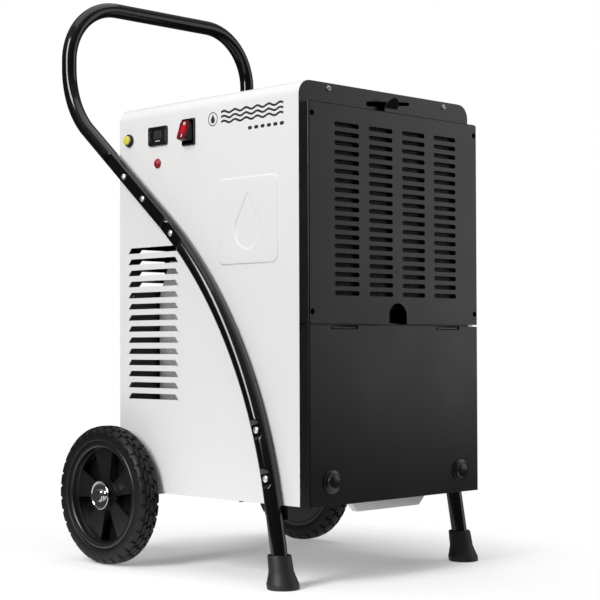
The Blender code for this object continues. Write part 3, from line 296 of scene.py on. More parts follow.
def boolean(base, tool, operation="DIFFERENCE"):
    """One exact Boolean of two meshes."""
    target, cutter = (linked_object("scratch", mesh_of(bm)) for bm in (base, tool))
    modifier = target.modifiers.new("boolean", "BOOLEAN")
    modifier.operation = operation
    modifier.object = cutter
    modifier.solver = "EXACT"
    evaluated = target.evaluated_get(bpy.context.evaluated_depsgraph_get())
    result = bmesh.new()
    result.from_mesh(evaluated.to_mesh())
    evaluated.to_mesh_clear()
    for obj in (target, cutter):
        mesh = obj.data
        bpy.data.objects.remove(obj, do_unlink=True)
        bpy.data.meshes.remove(mesh)
    bmesh.ops.remove_doubles(result, verts=result.verts, dist=1e-6)
    return result


def cut(base, *tools):
    """Take tools away from a shape."""
    return boolean(base, combine(tools))


def join(base, *tools):
    """Fuse tools with a shape."""
    for tool in tools:
        base = boolean(base, tool, "UNION")
    return base


def round_edges(bm, chosen, radius, segments=3):
    """Round the edges for which chosen(edge) holds."""
    edges = [e for e in bm.edges if chosen(e)]
    bmesh.ops.bevel(bm, geom=edges, offset=radius, segments=segments, affect="EDGES", profile=0.5,
                    clamp_overlap=True)
    return bm


BEVEL_ANGLE = 40                  # flatter edges aren't rounded


def make(name, bm, material, body="chassis", node=None, smooth=35, bevel=0.0, segments=2,
         flat=False):
    """Make a piece of a mesh in the cabinet's frame and put it on a body.

    node is the CAD node that it stands in for; flat shades big faces evenly beside rounded edges.
    """
    bmesh.ops.translate(bm, verts=bm.verts, vec=SHIFT)
    mesh = mesh_of(bm, name)
    mesh.materials.append(MATERIAL[material])
    mesh.shade_smooth()
    mesh.set_sharp_from_angle(angle=math.radians(smooth))
    obj = linked_object(name, mesh)
    if bevel:
        modifier = obj.modifiers.new("edge", "BEVEL")
        modifier.width = bevel
        modifier.segments = segments
        modifier.limit_method = "ANGLE"
        modifier.angle_limit = math.radians(BEVEL_ANGLE)
        modifier.harden_normals = True
        modifier.miter_outer = "MITER_ARC"
    if flat:
        weighted = obj.modifiers.new("even_shading", "WEIGHTED_NORMAL")
        weighted.mode = "FACE_AREA"
        weighted.keep_sharp = True
    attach(obj, body)
    if node:
        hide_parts(node)


def refined(name, node, material, body):
    """A copy of a CAD node with its faces welded together and its edges rounded."""
    bm = bmesh.new()
    bm.from_mesh(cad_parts[node].data)
    bmesh.ops.translate(bm, verts=bm.verts, vec=-SHIFT)
    bmesh.ops.remove_doubles(bm, verts=bm.verts, dist=1e-6)
    make(name, bm, material, body, node=node, bevel=0.0003)


# ------------------------ tube frame, screws, feet
def bend(start, corner, end, radius, steps):
    """Arc that rounds the corner between two straight runs, as 3-D points."""
    start, corner, end = Vector(start), Vector(corner), Vector(end)
    u, v = (start - corner).normalized(), (end - corner).normalized()
    half = u.angle(v) / 2
    middle = corner + (u + v).normalized() * radius / math.sin(half)
    first = corner + u * radius / math.tan(half) - middle
    last = corner + v * radius / math.tan(half) - middle
    turn = first.angle(last)
    return [middle + (math.sin(turn * (1 - i / steps)) * first + math.sin(turn * i / steps) * last)
            / math.sin(turn) for i in range(steps + 1)]


def tube_path(steps):
    """Centreline of the frame from the left foot over the handle to the right foot."""
    foot, low, high = (-TUBE_X, *LEG_FOOT), (-TUBE_X, *LEG_CORNER), (-TUBE_X, *HANDLE_CORNER)
    grip, centre = (-TUBE_X, HANDLE_CORNER[0], GRIP_Z), (0, HANDLE_CORNER[0], GRIP_Z)
    left = [Vector(foot)]
    left += bend(foot, low, high, LEG_BEND_R, steps[0])
    left += bend(low, high, grip, HANDLE_BEND_R, steps[1])
    left += bend(high, grip, centre, GRIP_BEND_R, steps[2])
    return left + [Vector((-p.x, p.y, p.z)) for p in reversed(left)]


TUBE_PATH = tube_path((30, 24, 24))


def tube_y(height):
    """Y of the tube's centreline on the cabinet's side, at a height."""
    for lower, upper in zip(TUBE_PATH, TUBE_PATH[1:]):
        if lower.z <= height <= upper.z:
            return lower.y + (upper.y - lower.y) * (height - lower.z) / (upper.z - lower.z)
    return None


SCREW_PLACES = [(tube_y(z), z) for z in SCREW_HEIGHTS]
FLATS = ((0.169, 0.187), (0.2485, 0.2665), (0.577, 0.6065), (0.619, 0.742))    # pressed heights
FLAT_DEPTH, FLAT_EASE = 0.0056, 0.008
TUBE_SIDES, FINE_STEP, FINE_REACH = 48, 0.002, 0.012     # rings stand closer near a flat's ends


def flat_depth(height):
    """How far the tube's outer side is pressed in at a height."""
    depth = 0.0
    for low, high in FLATS:
        outside = max(low - height, height - high, 0.0) / FLAT_EASE
        if outside < 1:
            depth = max(depth, FLAT_DEPTH * (0.5 + 0.5 * math.cos(math.pi * outside)))
    return depth


def build_tube():
    """The bent tube, with its outer side pressed flat at the screws."""
    points = [TUBE_PATH[0]]
    for a, b in zip(TUBE_PATH, TUBE_PATH[1:]):
        parts = max(1, math.ceil((b - a).length / FINE_STEP))
        for i in range(1, parts + 1):
            p = a.lerp(b, i / parts)
            if i == parts or min(abs(p.z - end) for flat in FLATS for end in flat) < FINE_REACH:
                points.append(p)
    bm = bmesh.new()
    rings = []
    normal = Vector((1, 0, 0))
    before = None
    for i, point in enumerate(points):
        tangent = ((points[min(i + 1, len(points) - 1)] - point).normalized()
                   + (point - points[max(i - 1, 0)]).normalized()).normalized()
        if before:
            normal.rotate(before.rotation_difference(tangent))
        before = tangent
        side = tangent.cross(normal)
        ring = []
        for k in range(TUBE_SIDES):
            a = 2 * math.pi * k / TUBE_SIDES
            p = point + TUBE_R * (math.cos(a) * normal + math.sin(a) * side)
            p.x = math.copysign(min(abs(p.x), TUBE_X + TUBE_R - flat_depth(point.z)), p.x)
            ring.append(bm.verts.new(p))
        rings.append(ring)
    skin(bm, rings, (rings[0], rings[-1]))
    make("frame_tube", bm, "tube_paint", node="tube_frame", smooth=30)


def pan_head(radius, height, shank, turn):
    """A domed screw head with a cross recess, on +Z, with its seat at Z = 0."""
    bm = bmesh.new()
    count, steps, dome, recess = 48, 16, 0.55, 0.62
    rings = []
    arm, length = 0.16 * radius, 0.56 * radius
    for s in range(1, steps + 1):
        r = radius * s / steps
        ring = []
        for i in range(count):
            a = 2 * math.pi * i / count
            x, y = r * math.cos(a), r * math.sin(a)
            z = height * (1 - dome * (s / steps) ** 3)
            c, d = abs(x * math.cos(turn) + y * math.sin(turn)), abs(y * math.cos(turn) - x * math.sin(turn))
            if (c < arm and d < length) or (d < arm and c < length):
                z -= recess * height
            ring.append(bm.verts.new((x, y, z)))
        rings.append(ring)
    rings.insert(0, [bm.verts.new((0, 0, 0.3 * height))] * count)
    for share, z in ((1, 0), (0.4, 0), (1, -shank)):
        rings.append([bm.verts.new((v.co.x * share, v.co.y * share, z)) for v in rings[-1]])
    return skin(bm, rings, rings[-1:])


def screw(name, size, direction, place, turn, material="zinc", node=None, bevel=0.0003):
    """A screw head at a place, facing a direction; size is its radius, height and shank."""
    bm = pan_head(*size, turn)
    aim = Vector(direction).to_track_quat("Z", "Y").to_matrix().to_4x4()
    bmesh.ops.transform(bm, matrix=Matrix.Translation(place) @ aim, verts=bm.verts)
    make(name, bm, material, node=node, bevel=bevel)


def build_screws():
    """All screws that can be seen; their cross recesses point different ways."""
    for sign, side in SIDES:
        for number, (y, z) in enumerate(SCREW_PLACES, 1):
            screw(f"frame_screw_{side}_{number}", (0.0056, 0.0034, 0.012), (sign, 0, 0),
                  (sign * (TUBE_X + TUBE_R - FLAT_DEPTH), y, z), 0.5 * number,
                  node=f"tube_screw_{side}_{number}")
        screw(f"top_screw_{side}", (0.005, 0.0027, 0.006), (0, -1, 0),
              (sign * PLATE_SCREW_X, FRONT - GAP, PLATE_SCREW_Z), 0.4 * sign,
              node=f"plate_screw_{side}")
    for number, (x, z) in enumerate(COVER_SCREWS, 1):
        screw(f"sunk_screw_{number}", (0.0034, 0.0025, 0.008), (0, -1, 0), (x, FRONT - 3 * GAP - SHEET, z),
              0.3 * number, "black_plastic", f"cover_screw_{number}", bevel=0)
    rear_screws = [(x, z) for z in (0.17, 0.33, 0.49, 0.65, 0.795) for x in (-0.189, 0.189)]
    for number, (x, z) in enumerate(rear_screws, 1):
        screw(f"rear_screw_{number}", (0.004, 0.0022, 0.004), (0, 1, 0), (x, BACK + 0.0002, z),
              0.7 * number, bevel=0.0002)
    for sign, side in SIDES:
        screw(f"under_screw_{side}", (0.0045, 0.0022, 0.003), (0, 0, -1), (sign * 0.2125, -0.0894, BOTTOM),
              0.0, "black_plastic", bevel=0.0002)


def build_feet():
    """The rubber feet lean with the legs and stand on level soles."""
    lean = (LEG_CORNER[0] - LEG_FOOT[0]) / (LEG_CORNER[1] - LEG_FOOT[1])
    inner = TUBE_R + 0.0004
    profile = [(0, 0), (0.0256, 0), (0.0264, 0.0004), (0.027, 0.0014), (0.0271, 0.003), (0.0271, 0.0092),
               (0.0267, 0.0104), (0.0258, 0.0122), (0.0224, 0.0236), (0.0217, 0.0262), (0.0211, 0.029),
               (0.0199, 0.053), (0.0196, 0.0542), (0.0189, 0.055), (inner + 0.0006, 0.055),
               (inner, 0.0544), (inner, 0.006), (0, 0.006)]
    for sign, side in SIDES:
        bm = lathe(profile, "Z", (sign * TUBE_X, LEG_FOOT[0] - lean * LEG_FOOT[1]), 64)
        for vert in bm.verts:
            vert.co.y += lean * vert.co.z
        make(f"ferrule_{side}", bm, "rubber", node=f"foot_{side}", smooth=24)


# ------------------------ cabinet
def louvres(first_top, rows, left, right, low, high, axis):
    """Rows of slots, 10 mm high and wider at the bottom, as cutters along an axis."""
    pitch, height, slant = 0.0204, 0.01, 0.0085
    slots = []
    for row in range(rows):
        top = first_top - row * pitch
        outline = [(left, top - height), (right, top - height), (right - slant, top), (left + slant, top)]
        slots.append(prism(outline, axis, low, high))
    return slots


def cabinet_outline(inset, bottom, steps=16):
    """Inverted U outline (x, z) of the cabinet, with round top corners."""
    half, top, radius = HALF_W - inset, TOP - inset, TOP_RADIUS - inset
    right = arc((half - radius, top - radius), radius, 0, 90, steps)
    left = arc((radius - half, top - radius), radius, 90, 180, steps)
    return [(-half, bottom), (half, bottom)] + right + left


BUTTON_PLACE = (0.2063, 0.7747)
METER_LOW, METER_HIGH = (0.0975, 0.7585), (0.149, 0.7925)
LAMP_PLACE = (0.1257, 0.7263)
SWITCH_LOW, SWITCH_HIGH = (0.0224, 0.751), (0.0564, 0.798)
SWITCH_MIDDLE = tuple((a + b) / 2 for a, b in zip(SWITCH_LOW, SWITCH_HIGH))
BADGE_MIDDLE, BADGE_HALF = (-0.112, 0.61), 0.0735


def inset_box(low, high, amount):
    """Corners of a rectangle moved inwards."""
    return (low[0] + amount, low[1] + amount), (high[0] - amount, high[1] - amount)


def build_housing():
    """The white wrap: a folded shell with its openings, louvres and holes for the controls."""
    front, back = FRONT + SHEET + GAP, BACK
    wall_front, wall_back = front + SHEET, back - SHEET
    bm = prism(cabinet_outline(0, BOTTOM), "Y", front, back)
    bm = cut(bm, prism(cabinet_outline(SHEET, BOTTOM - 0.01), "Y", wall_front, wall_back))
    near, far = (front - 0.01, wall_front + 0.001), (wall_back - 0.001, back + 0.01)
    for half, (y0, y1), low, high in ((0.2, near, BOTTOM - 0.01, 0.817),      # air section and tank
                                      (0.066, near, 0.8, 0.833),              # the filter's slot
                                      (0.182, far, BOTTOM - 0.01, 0.8)):      # the back panel
        bm = cut(bm, box((-half, y0, low), (half, y1, high)))
    holes = []
    for sign in (-1, 1):
        low, high = sorted((sign * (HALF_W - 0.01), sign * (HALF_W + 0.01)))
        holes += louvres(0.5764, 14, 0.0705, 0.2115, low, high, "X")
    left = (-HALF_W - 0.01, -HALF_W + 0.01)
    holes += [cylinder("X", BUTTON_PLACE, 0.0082, *left), cylinder("X", LAMP_PLACE, 0.0072, *left)]
    for low, high in (inset_box(METER_LOW, METER_HIGH, 0.003), inset_box(SWITCH_LOW, SWITCH_HIGH, 0.0016)):
        holes.append(box((left[0], *low), (left[1], *high)))
    make("cabinet_shell", cut(bm, *holes), "white_paint", node="housing", smooth=30, bevel=0.0004)


def build_rear_panel():
    """The back panel inside the housing's frame, with louvres and the hole of the cable gland."""
    front = BACK - 2 * SHEET - 2 * GAP
    reach = (front - 0.01, front + 0.01)
    bm = box((-0.196, front, 0.158), (0.196, front + SHEET, 0.808))
    holes = [cylinder("Y", (0.095, 0.19), 0.0092, *reach, 40)]
    for left, right in ((-0.1756, -0.104), (0.104, 0.1756)):
        holes += louvres(0.5769, 4, left, right, *reach, "Y")
    make("rear_panel", cut(bm, *holes), "black_paint", node="back_panel", smooth=30, bevel=0.0003)


def drop_outline(middle, radius, steps=28):
    """A water drop: a round belly and a pointed top, counter-clockwise."""
    return arc(middle, radius, -212, 32, steps) + [(middle[0], middle[1] + 2.0 * radius)]


def offset(outline, amount):
    """An outline moved outwards by an amount, point by point."""
    moved = []
    for i, point in enumerate(outline):
        before, after = outline[i - 1], outline[(i + 1) % len(outline)]
        a = Vector((point[0] - before[0], point[1] - before[1])).normalized()
        b = Vector((after[0] - point[0], after[1] - point[1])).normalized()
        n = (Vector((a.y, -a.x)) + Vector((b.y, -b.x))).normalized()
        stretch = 1 / max(0.5, n.dot(Vector((a.y, -a.x))))
        moved.append((point[0] + n.x * amount * stretch, point[1] + n.y * amount * stretch))
    return moved


def pressed_rings(bm, outline, steps):
    """A pressed edge on the left wall: the outline moved by each step's first value, at its height."""
    rings = [[bm.verts.new((-HALF_W - height, y, z)) for y, z in offset(outline, away)]
             for away, height in steps]
    skin(bm, rings)
    return rings


def ring_edges(bm, ring):
    """The edges round a ring of verts."""
    pairs = zip(ring, ring[1:] + ring[:1])
    return [bm.edges.get(pair) or bm.edges.new(pair) for pair in pairs]


def build_emboss():
    """A pressed square with round corners that holds a pressed drop, flush with the left wall."""
    low, high = ([c + sign * BADGE_HALF for c in BADGE_MIDDLE] for sign in (-1, 1))
    square = rounded_rectangle(low, high, 0.013)
    drop = drop_outline((BADGE_MIDDLE[0], BADGE_MIDDLE[1] - 0.016), 0.032)
    bm = bmesh.new()
    outer = pressed_rings(bm, square, ((0.002, 0.00003), (0.0006, 0.00012), (0.0001, 0.0004),
                                       (-0.0006, 0.0015), (-0.001, 0.00172), (-0.0024, 0.0018)))
    inner = pressed_rings(bm, drop, ((0.0022, 0.0018), (0.001, 0.00172), (0.0005, 0.0015),
                                     (-0.0004, 0.0004), (-0.0008, 0.00012), (-0.0022, 0.00004)))
    bmesh.ops.triangle_fill(bm, edges=ring_edges(bm, outer[-1]) + ring_edges(bm, inner[0]), use_beauty=True,
                            normal=Vector((-1, 0, 0)))
    bm.faces.new(inner[-1])
    bmesh.ops.recalc_face_normals(bm, faces=bm.faces)
    if sum(f.normal.x * f.calc_area() for f in bm.faces) > 0:
        bmesh.ops.reverse_faces(bm, faces=bm.faces)
    make("pressed_badge", bm, "white_paint", smooth=80)


INK_IN, INK_OUT = -HALF_W - 0.00001, -HALF_W - 0.00012


def flat_print(outlines, name):
    """Thin raised ink shapes on the left wall."""
    bm = combine([prism(outline, "X", INK_OUT, INK_IN) for outline in outlines])
    make(name, bm, "print_ink")


def ribbon(points, width):
    """Outline of a band of even width along a line of points."""
    left, right = [], []
    for i, point in enumerate(points):
        before, after = points[max(i - 1, 0)], points[min(i + 1, len(points) - 1)]
        along = Vector((after[0] - before[0], after[1] - before[1])).normalized()
        left.append((point[0] - along.y * width / 2, point[1] + along.x * width / 2))
        right.append((point[0] + along.y * width / 2, point[1] - along.x * width / 2))
    return left + right[::-1]


def build_print():
    """Generic printed pictograms: a drop in a ring, three waves of air, and a row of dashes."""
    icon_y, icon_z = -0.0235, 0.7905
    bm = cut(prism(circle((icon_y, icon_z), 0.0122, 48), "X", INK_OUT, INK_IN),
             prism(circle((icon_y, icon_z), 0.0106, 48), "X", -HALF_W - 0.001, -HALF_W + 0.001))
    make("printed_ring", bm, "print_ink")
    flat_print([drop_outline((icon_y, icon_z - 0.0022), 0.0052)], "printed_drop")
    start, end, count, periods, swing = -0.045, -0.199, 96, 5.5, 0.002
    waves = []
    for row in range(3):
        points = []
        for t in (i / count for i in range(count + 1)):
            z = 0.8 - row * 0.0085 + swing * math.sin(t * 2 * math.pi * periods)
            points.append((start + (end - start) * t, z))
        waves.append(ribbon(points, 0.0038))
    flat_print(waves, "printed_waves")
    dashes = [rounded_rectangle((y - 0.005, 0.7632), (y + 0.005, 0.7692), 0.0029)
              for y in (-0.118, -0.1335, -0.149, -0.1645, -0.18, -0.1955)]
    flat_print(dashes, "printed_scale")


def build_front_plate():
    """The black front plate, with two tongues for the door, rails round the filter and a lip in the gap."""
    back, rail_front, root = FRONT + SHEET, -0.252, FRONT + 0.0005
    bm = prism(cabinet_outline(0, BOTTOM), "Y", FRONT, back)
    reach = (FRONT - 0.01, back + 0.01)
    slot = arc((0.053, 0.8214), 0.003, -84, 96, 12) + arc((-0.0515, 0.8107), 0.0045, 96, 276, 12)
    finger = rounded_rectangle((-0.027, 0.799), (0.011, 0.8145), 0.004)
    bm = cut(bm, box((-0.15, reach[0], BOTTOM - 0.01), (0.15, reach[1], 0.415)),
             box((-0.18, reach[0], 0.46), (0.18, reach[1], 0.785)))
    bm = cut(bm, prism(slot, "Y", *reach))
    bm = cut(bm, prism(finger, "Y", *reach))
    for sign in (-1, 1):
        low, high = sorted((sign * 0.105, sign * 0.161))
        rail = sorted((sign * 0.1864, sign * 0.1879))
        bm = join(bm, box((low, COVER_FACE + 0.0008, 0.4257), (high, root, 0.4285)),
                  box((rail[0], rail_front, 0.4575), (rail[1], root, 0.78)))
    for low, high in ((-0.187, -0.03), (0.042, 0.187)):
        bm = join(bm, box((low, rail_front, 0.456), (high, root, 0.458)))
    bm = join(bm, box((-0.214, -0.247, 0.4312), (0.216, root, 0.4328)))
    make("front_panel", bm, "black_paint", node="front_plate", smooth=30, bevel=0.0004, flat=True)


def edges_at(y, z=None):
    """Chooses the edges at a depth y: those at a height z, or the upright ones where no height is given."""
    def chosen(edge):
        a, b = (vert.co for vert in edge.verts)
        rest = (a.x - b.x,) if z is None else (a.z - z, b.z - z)
        return all(abs(gap) < 1e-5 for gap in (a.y - y, b.y - y, *rest))
    return chosen


def folded_tray(low_z, high_z, top_bend=False):
    """A sheet tray with a flat front and bends down both sides, open at the back."""
    rear, radius, inside = FRONT - 2 * GAP, 0.0025, COVER_FACE + SHEET
    bm = box((-HALF_W, COVER_FACE, low_z), (HALF_W, rear, high_z))
    bm = round_edges(bm, edges_at(COVER_FACE), radius, 5)
    if top_bend:
        bm = round_edges(bm, edges_at(COVER_FACE, high_z), radius, 5)
    inner = box((-HALF_W + SHEET, inside, low_z + SHEET), (HALF_W - SHEET, rear + 0.01, high_z - SHEET))
    return cut(bm, round_edges(inner, edges_at(inside), radius - SHEET, 2))


def build_grille_cover():
    """The intake cover: four columns of slots, sunk screw holes and a finger notch at its lower edge."""
    rear = FRONT - 2 * GAP
    bm = folded_tray(COVER_BOTTOM, COVER_TOP, top_bend=True)
    bm = cut(bm, box((-HALF_W + SHEET, COVER_FACE + 0.0055, COVER_TOP - 0.005),
                     (HALF_W - SHEET, rear + 0.01, COVER_TOP + 0.01)))
    for x, z in COVER_SCREWS:
        low, high = sorted((math.copysign(HALF_W - SHEET / 2, x), math.copysign(0.204, x)))
        bm = join(bm, box((low, rear - SHEET, z - 0.006), (high, rear, z + 0.006)))
    reach = (COVER_FACE - 0.01, COVER_FACE + 0.006)
    top_slot, bottom_slot, rows = 0.7645, 0.4843, 19
    half_long, half_high, end_radius = 0.03, 0.004, 0.0039
    holes = []
    for x in (-0.1266, -0.0422, 0.0422, 0.1266):
        for row in range(rows):
            z = top_slot - row * (top_slot - bottom_slot) / (rows - 1)
            slot = rounded_rectangle((x - half_long, z - half_high), (x + half_long, z + half_high),
                                     end_radius, 5)
            holes.append(prism(slot, "Y", *reach))
    notch_r = 0.0233
    notch = [(notch_r, COVER_BOTTOM - 0.01)] + arc((0, 0.4463), notch_r, 0, 180, 24)
    notch.append((-notch_r, COVER_BOTTOM - 0.01))
    holes.append(prism(notch, "Y", COVER_FACE - 0.01, COVER_FACE + 0.012))
    holes += [cylinder("Y", place, 0.005, *reach) for place in COVER_SCREWS]
    make("intake_cover", cut(bm, *holes), "black_paint", node="grille_cover", smooth=30,
         bevel=0.00025, flat=True)
    # Painted shade: a thin near-black strip along the cover's top edge stands in for the shadow line in the
    # gap between the cover and the front plate, not a real seal.
    painted_shade_strip = box((-0.2135, COVER_FACE + 0.0012, COVER_TOP - 0.001),
               (0.2135, COVER_FACE + 0.004, COVER_TOP + 0.0015))
    make("cover_painted_shade", painted_shade_strip, "dark_filter", bevel=0.0004)


def build_filter():
    """Filter frame, woven mesh of thin strands, and the pull tab."""
    low, high, rim = (-0.185, -0.2505, 0.4584), (0.185, -0.2405, 0.79), 0.012
    web = (-0.2454, -0.2447)          # a thin sheet is left between the pockets of both faces
    bm = box(low, high)
    for x0, x1 in ((low[0] + rim, -0.004), (0.004, high[0] - rim)):
        for y0, y1 in ((low[1] - 0.01, web[0]), (web[1], high[1] + 0.01)):
            bm = cut(bm, box((x0, y0, low[2] + rim), (x1, y1, high[2] - rim)))
    bm = cut(bm, box((-0.025, low[1] - 0.01, low[2] - 0.01), (0.04, web[0], 0.47)))
    make("filter_frame", bm, "dark_filter", "filter", node="air_filter", bevel=0.0006)
    middle, thread, pitch, tuck = -0.2496, 0.00045, 0.0034, 0.001
    (x0, _, z0), (x1, _, z1) = [[c + side * rim for c in corner] for side, corner in ((1, low), (-1, high))]
    strands = []
    for i in range(int((x1 - x0) / pitch)):
        x = x0 + (i + 0.5) * pitch
        strands.append(box((x - thread, middle - thread, z0 - tuck),
                           (x + thread, middle + thread, z1 + tuck)))
    for i in range(int((z1 - z0) / pitch)):
        z = z0 + (i + 0.5) * pitch
        strands.append(box((x0 - tuck, middle + 0.0003, z - thread),
                           (x1 + tuck, middle + 0.0007, z + thread)))
    make("filter_mesh", combine(strands), "strand", "filter")
    tab = [(-0.021, 0.788), (0.011, 0.788), (0.011, 0.808)]
    tab += arc((-0.005, 0.808), 0.016, 4, 176, 20) + [(-0.021, 0.808)]
    fold = (-0.258, 0.803)
    side_view = ([(-0.248, 0.787)] + arc(fold, 0.01, 0, 34, 6) + [(-0.259, 0.825), (-0.2568, 0.825)]
                 + arc(fold, 0.012, 34, 0, 6) + [(-0.246, 0.787)])
    bm = boolean(prism(tab, "Y", -0.27, -0.24), prism(side_view, "X", -0.025, 0.02), "INTERSECT")
    make("filter_tab", bm, "black_plastic", "filter", bevel=0.0005, segments=3)


def build_door():
    """The tank door with notches for the plate's two tongues, and its two turn knobs with studs."""
    rear = FRONT - 2 * GAP
    bm = round_edges(folded_tray(BOTTOM, DOOR_TOP), edges_at(COVER_FACE, BOTTOM), 0.0012, 4)
    tools = []
    for sign, _ in SIDES:
        low, high = sorted((sign * 0.101, sign * 0.165))
        tools.append(box((low, COVER_FACE - 0.01, DOOR_TOP - 0.0062), (high, rear + 0.01, DOOR_TOP + 0.01)))
        tools.append(cylinder("Y", (sign * KNOB_X, KNOB_Z), 0.0048, COVER_FACE - 0.01, COVER_FACE + 0.01, 24))
    make("front_door", cut(bm, *tools), "black_paint", "door", node="tank_door", smooth=30,
         bevel=0.0003, flat=True)
    tip, face, stud, collar = COVER_FACE - 0.009, COVER_FACE - GAP, 0.0042, 0.0088
    profile = [(0, FRONT + 0.006), (0.0035, FRONT + 0.006), (stud, FRONT + 0.004),
               (stud, COVER_FACE + 0.004), (collar, COVER_FACE + 0.0038), (collar, COVER_FACE + 0.002),
               (stud, COVER_FACE + 0.002), (stud, face), (0.0194, face), (0.02, face - 0.0006),
               (0.02, face - 0.0014), (0.0194, face - 0.0022), (0.0152, face - 0.0038),
               (0.014, face - 0.0045), (0.0134, tip + 0.003), (0.0126, tip + 0.0019),
               (0.011, tip + 0.0011), (0.0085, tip + 0.0005), (0.0045, tip + 0.0001), (0, tip)]
    for sign, side in SIDES:
        make(f"turn_knob_{side}", lathe(profile, "Y", (sign * KNOB_X, KNOB_Z), 72), "black_plastic",
             f"{side}_knob", node=f"door_knob_{side}", smooth=28)


# ------------------------ wheels
def build_tyre(sign, side):
    """A moulded tyre: staggered chevron blocks, with grooves between their rows.

    Each station across the tyre is (distance from its middle, radius, row, share of the groove's depth).
    Row c is the centre blocks, m the middle ones, s the shoulder, g a groove round the tyre, w the wall.
    """
    pitches, depth, slant, slant_end = 32, 0.0032, 0.45, 0.0141
    turns = (-0.14, -0.08, 0.08, 0.14, 0.36, 0.42, 0.58, 0.64)
    tread_half, crown = 0.02, 0.0062
    half = [(0.0, "c"), (0.0044, "c"), (0.005, "g"), (0.0057, "g"), (0.0063, "m"), (0.0122, "m"),
            (0.0128, "g"), (0.0135, "g"), (slant_end, "s"), (0.0165, "s"), (0.0185, "s"), (tread_half, "s")]
    stations = [(u, WHEEL_R - crown * (u / tread_half) ** 4, row, 1.0) for u, row in half]
    stations += [(0.0207, 0.1185, "s", 0.9), (0.0211, 0.1165, "s", 0.5), (0.0213, 0.1145, "w", 0),
                 (0.0214, 0.1115, "w", 0), (0.0213, 0.107, "w", 0), (0.0208, 0.1035, "w", 0),
                 (0.02, 0.101, "w", 0), (0.0192, 0.0996, "w", 0), (0.0182, 0.0989, "w", 0)]
    path = [(-u, r, row, share) for u, r, row, share in reversed(stations[1:])] + stations
    bm = bmesh.new()
    rings = []
    for u, r, row, share in path:
        ring = []
        lag = slant * min(abs(u), slant_end) / slant_end
        for pitch in range(pitches):
            for turn in turns:
                lateral = (row in "cs" and abs(turn) < 0.1) or (row == "m" and abs(turn - 0.5) < 0.1)
                sunk = depth * share if (lateral or row == "g") else 0.0
                angle = 2 * math.pi * (pitch + turn + lag) / pitches
                x = sign * (WHEEL_X + u * (0.97 if sunk else 1))
                ring.append(bm.verts.new((x, WHEEL_Y + (r - sunk) * math.cos(angle),
                                          WHEEL_R + (r - sunk) * math.sin(angle))))
        rings.append(ring)
    rings.append([bm.verts.new((sign * (WHEEL_X + 0.017), v.co.y, v.co.z)) for v in rings[-1]])
    make(f"tread_tyre_{side}", skin(bm, rings, closed=True), "tyre", f"{side}_wheel",
         node=f"tyre_{side}", smooth=32)


def build_wheel(sign, side):
    """Tyre, rim with five spokes over a closed disc, and the bright cap, which stays with the chassis."""
    place = (WHEEL_Y, WHEEL_R)
    bore = AXLE_R + GAP

    def turned(profile, start, count):
        return lathe([(r, sign * (start + u)) for r, u in profile], "X", place, count, closed=True)

    build_tyre(sign, side)
    rim = [(bore, -0.019), (0.0165, -0.019), (0.018, -0.0175), (0.024, 0.001), (0.086, 0.001),
           (0.089, -0.016), (0.0905, -0.0175), (0.0965, -0.018), (0.0982, -0.0172), (RIM_R, -0.016),
           (RIM_R, 0.016), (0.098, 0.0174), (0.0966, 0.0186), (0.0948, 0.0192), (0.0926, 0.0193),
           (0.0905, 0.0188), (0.0886, 0.0178), (0.0874, 0.0164), (0.0866, 0.006), (0.0858, 0.005),
           (0.026, 0.005), (0.024, 0.0118), (0.0225, 0.012), (bore, 0.012)]
    low, high = sorted((sign * (WHEEL_X - 0.004), sign * (WHEEL_X + 0.0095)))
    windows = []
    for aim in range(120, 480, 72):
        outline = arc(place, 0.0856, aim - 18, aim + 18, 8) + arc(place, 0.028, aim + 12, aim - 12, 4)
        windows.append(prism(outline, "X", low, high))
    disc = [(0.017, -0.0175), (0.0895, -0.0175), (0.0895, -0.0155), (0.017, -0.0155)]
    bm = join(cut(turned(rim, WHEEL_X, 96), *windows), turned(disc, WHEEL_X, 96))
    make(f"spoked_rim_{side}", bm, "rim_plastic", f"{side}_wheel", node=f"wheel_rim_{side}",
         bevel=0.0006)
    hub = [(bore, 0), (0.018, 0), (0.0186, 0.0008), (0.0188, 0.0044), (0.024, 0.0056), (0.0256, 0.0062),
           (0.0262, 0.0074), (0.026, 0.0086), (0.025, 0.0093), (0.0238, 0.009), (0.0226, 0.0078),
           (0.02, 0.0072), (0.014, 0.0068), (0.0122, 0.0068), (0.0114, 0.0078), (0.0108, 0.0108),
           (0.0098, 0.0118), (bore, 0.012)]
    make(f"bright_cap_{side}", turned(hub, WHEEL_X + 0.012 + GAP, 72), "chrome",
         node=f"hub_cap_{side}", smooth=28)


def build_axle():
    """The axle, with a small dimple in each end."""
    end = 0.2735
    half = [(AXLE_R, end - 0.0014), (0.0062, end), (0.0052, end), (0.004, end - 0.0026), (0, end - 0.003)]
    profile = [(r, -x) for r, x in reversed(half)] + half
    make("wheel_axle", lathe(profile, "X", (WHEEL_Y, WHEEL_R), 40), "motor_paint",
         node="axle", smooth=30)


# ------------------------ controls on the left side
SIDE = -HALF_W - GAP
ROCKER_PIVOT = (-HALF_W - 0.0055, SWITCH_MIDDLE[1])
ROCKER_TILT = math.radians(18)


def lathe_left(profile, centre, count, **settings):
    """A lathed shape on the left wall; its profile is (radius, distance out of the wall)."""
    return lathe([(r, SIDE - out) for r, out in profile], "X", centre, count, **settings)


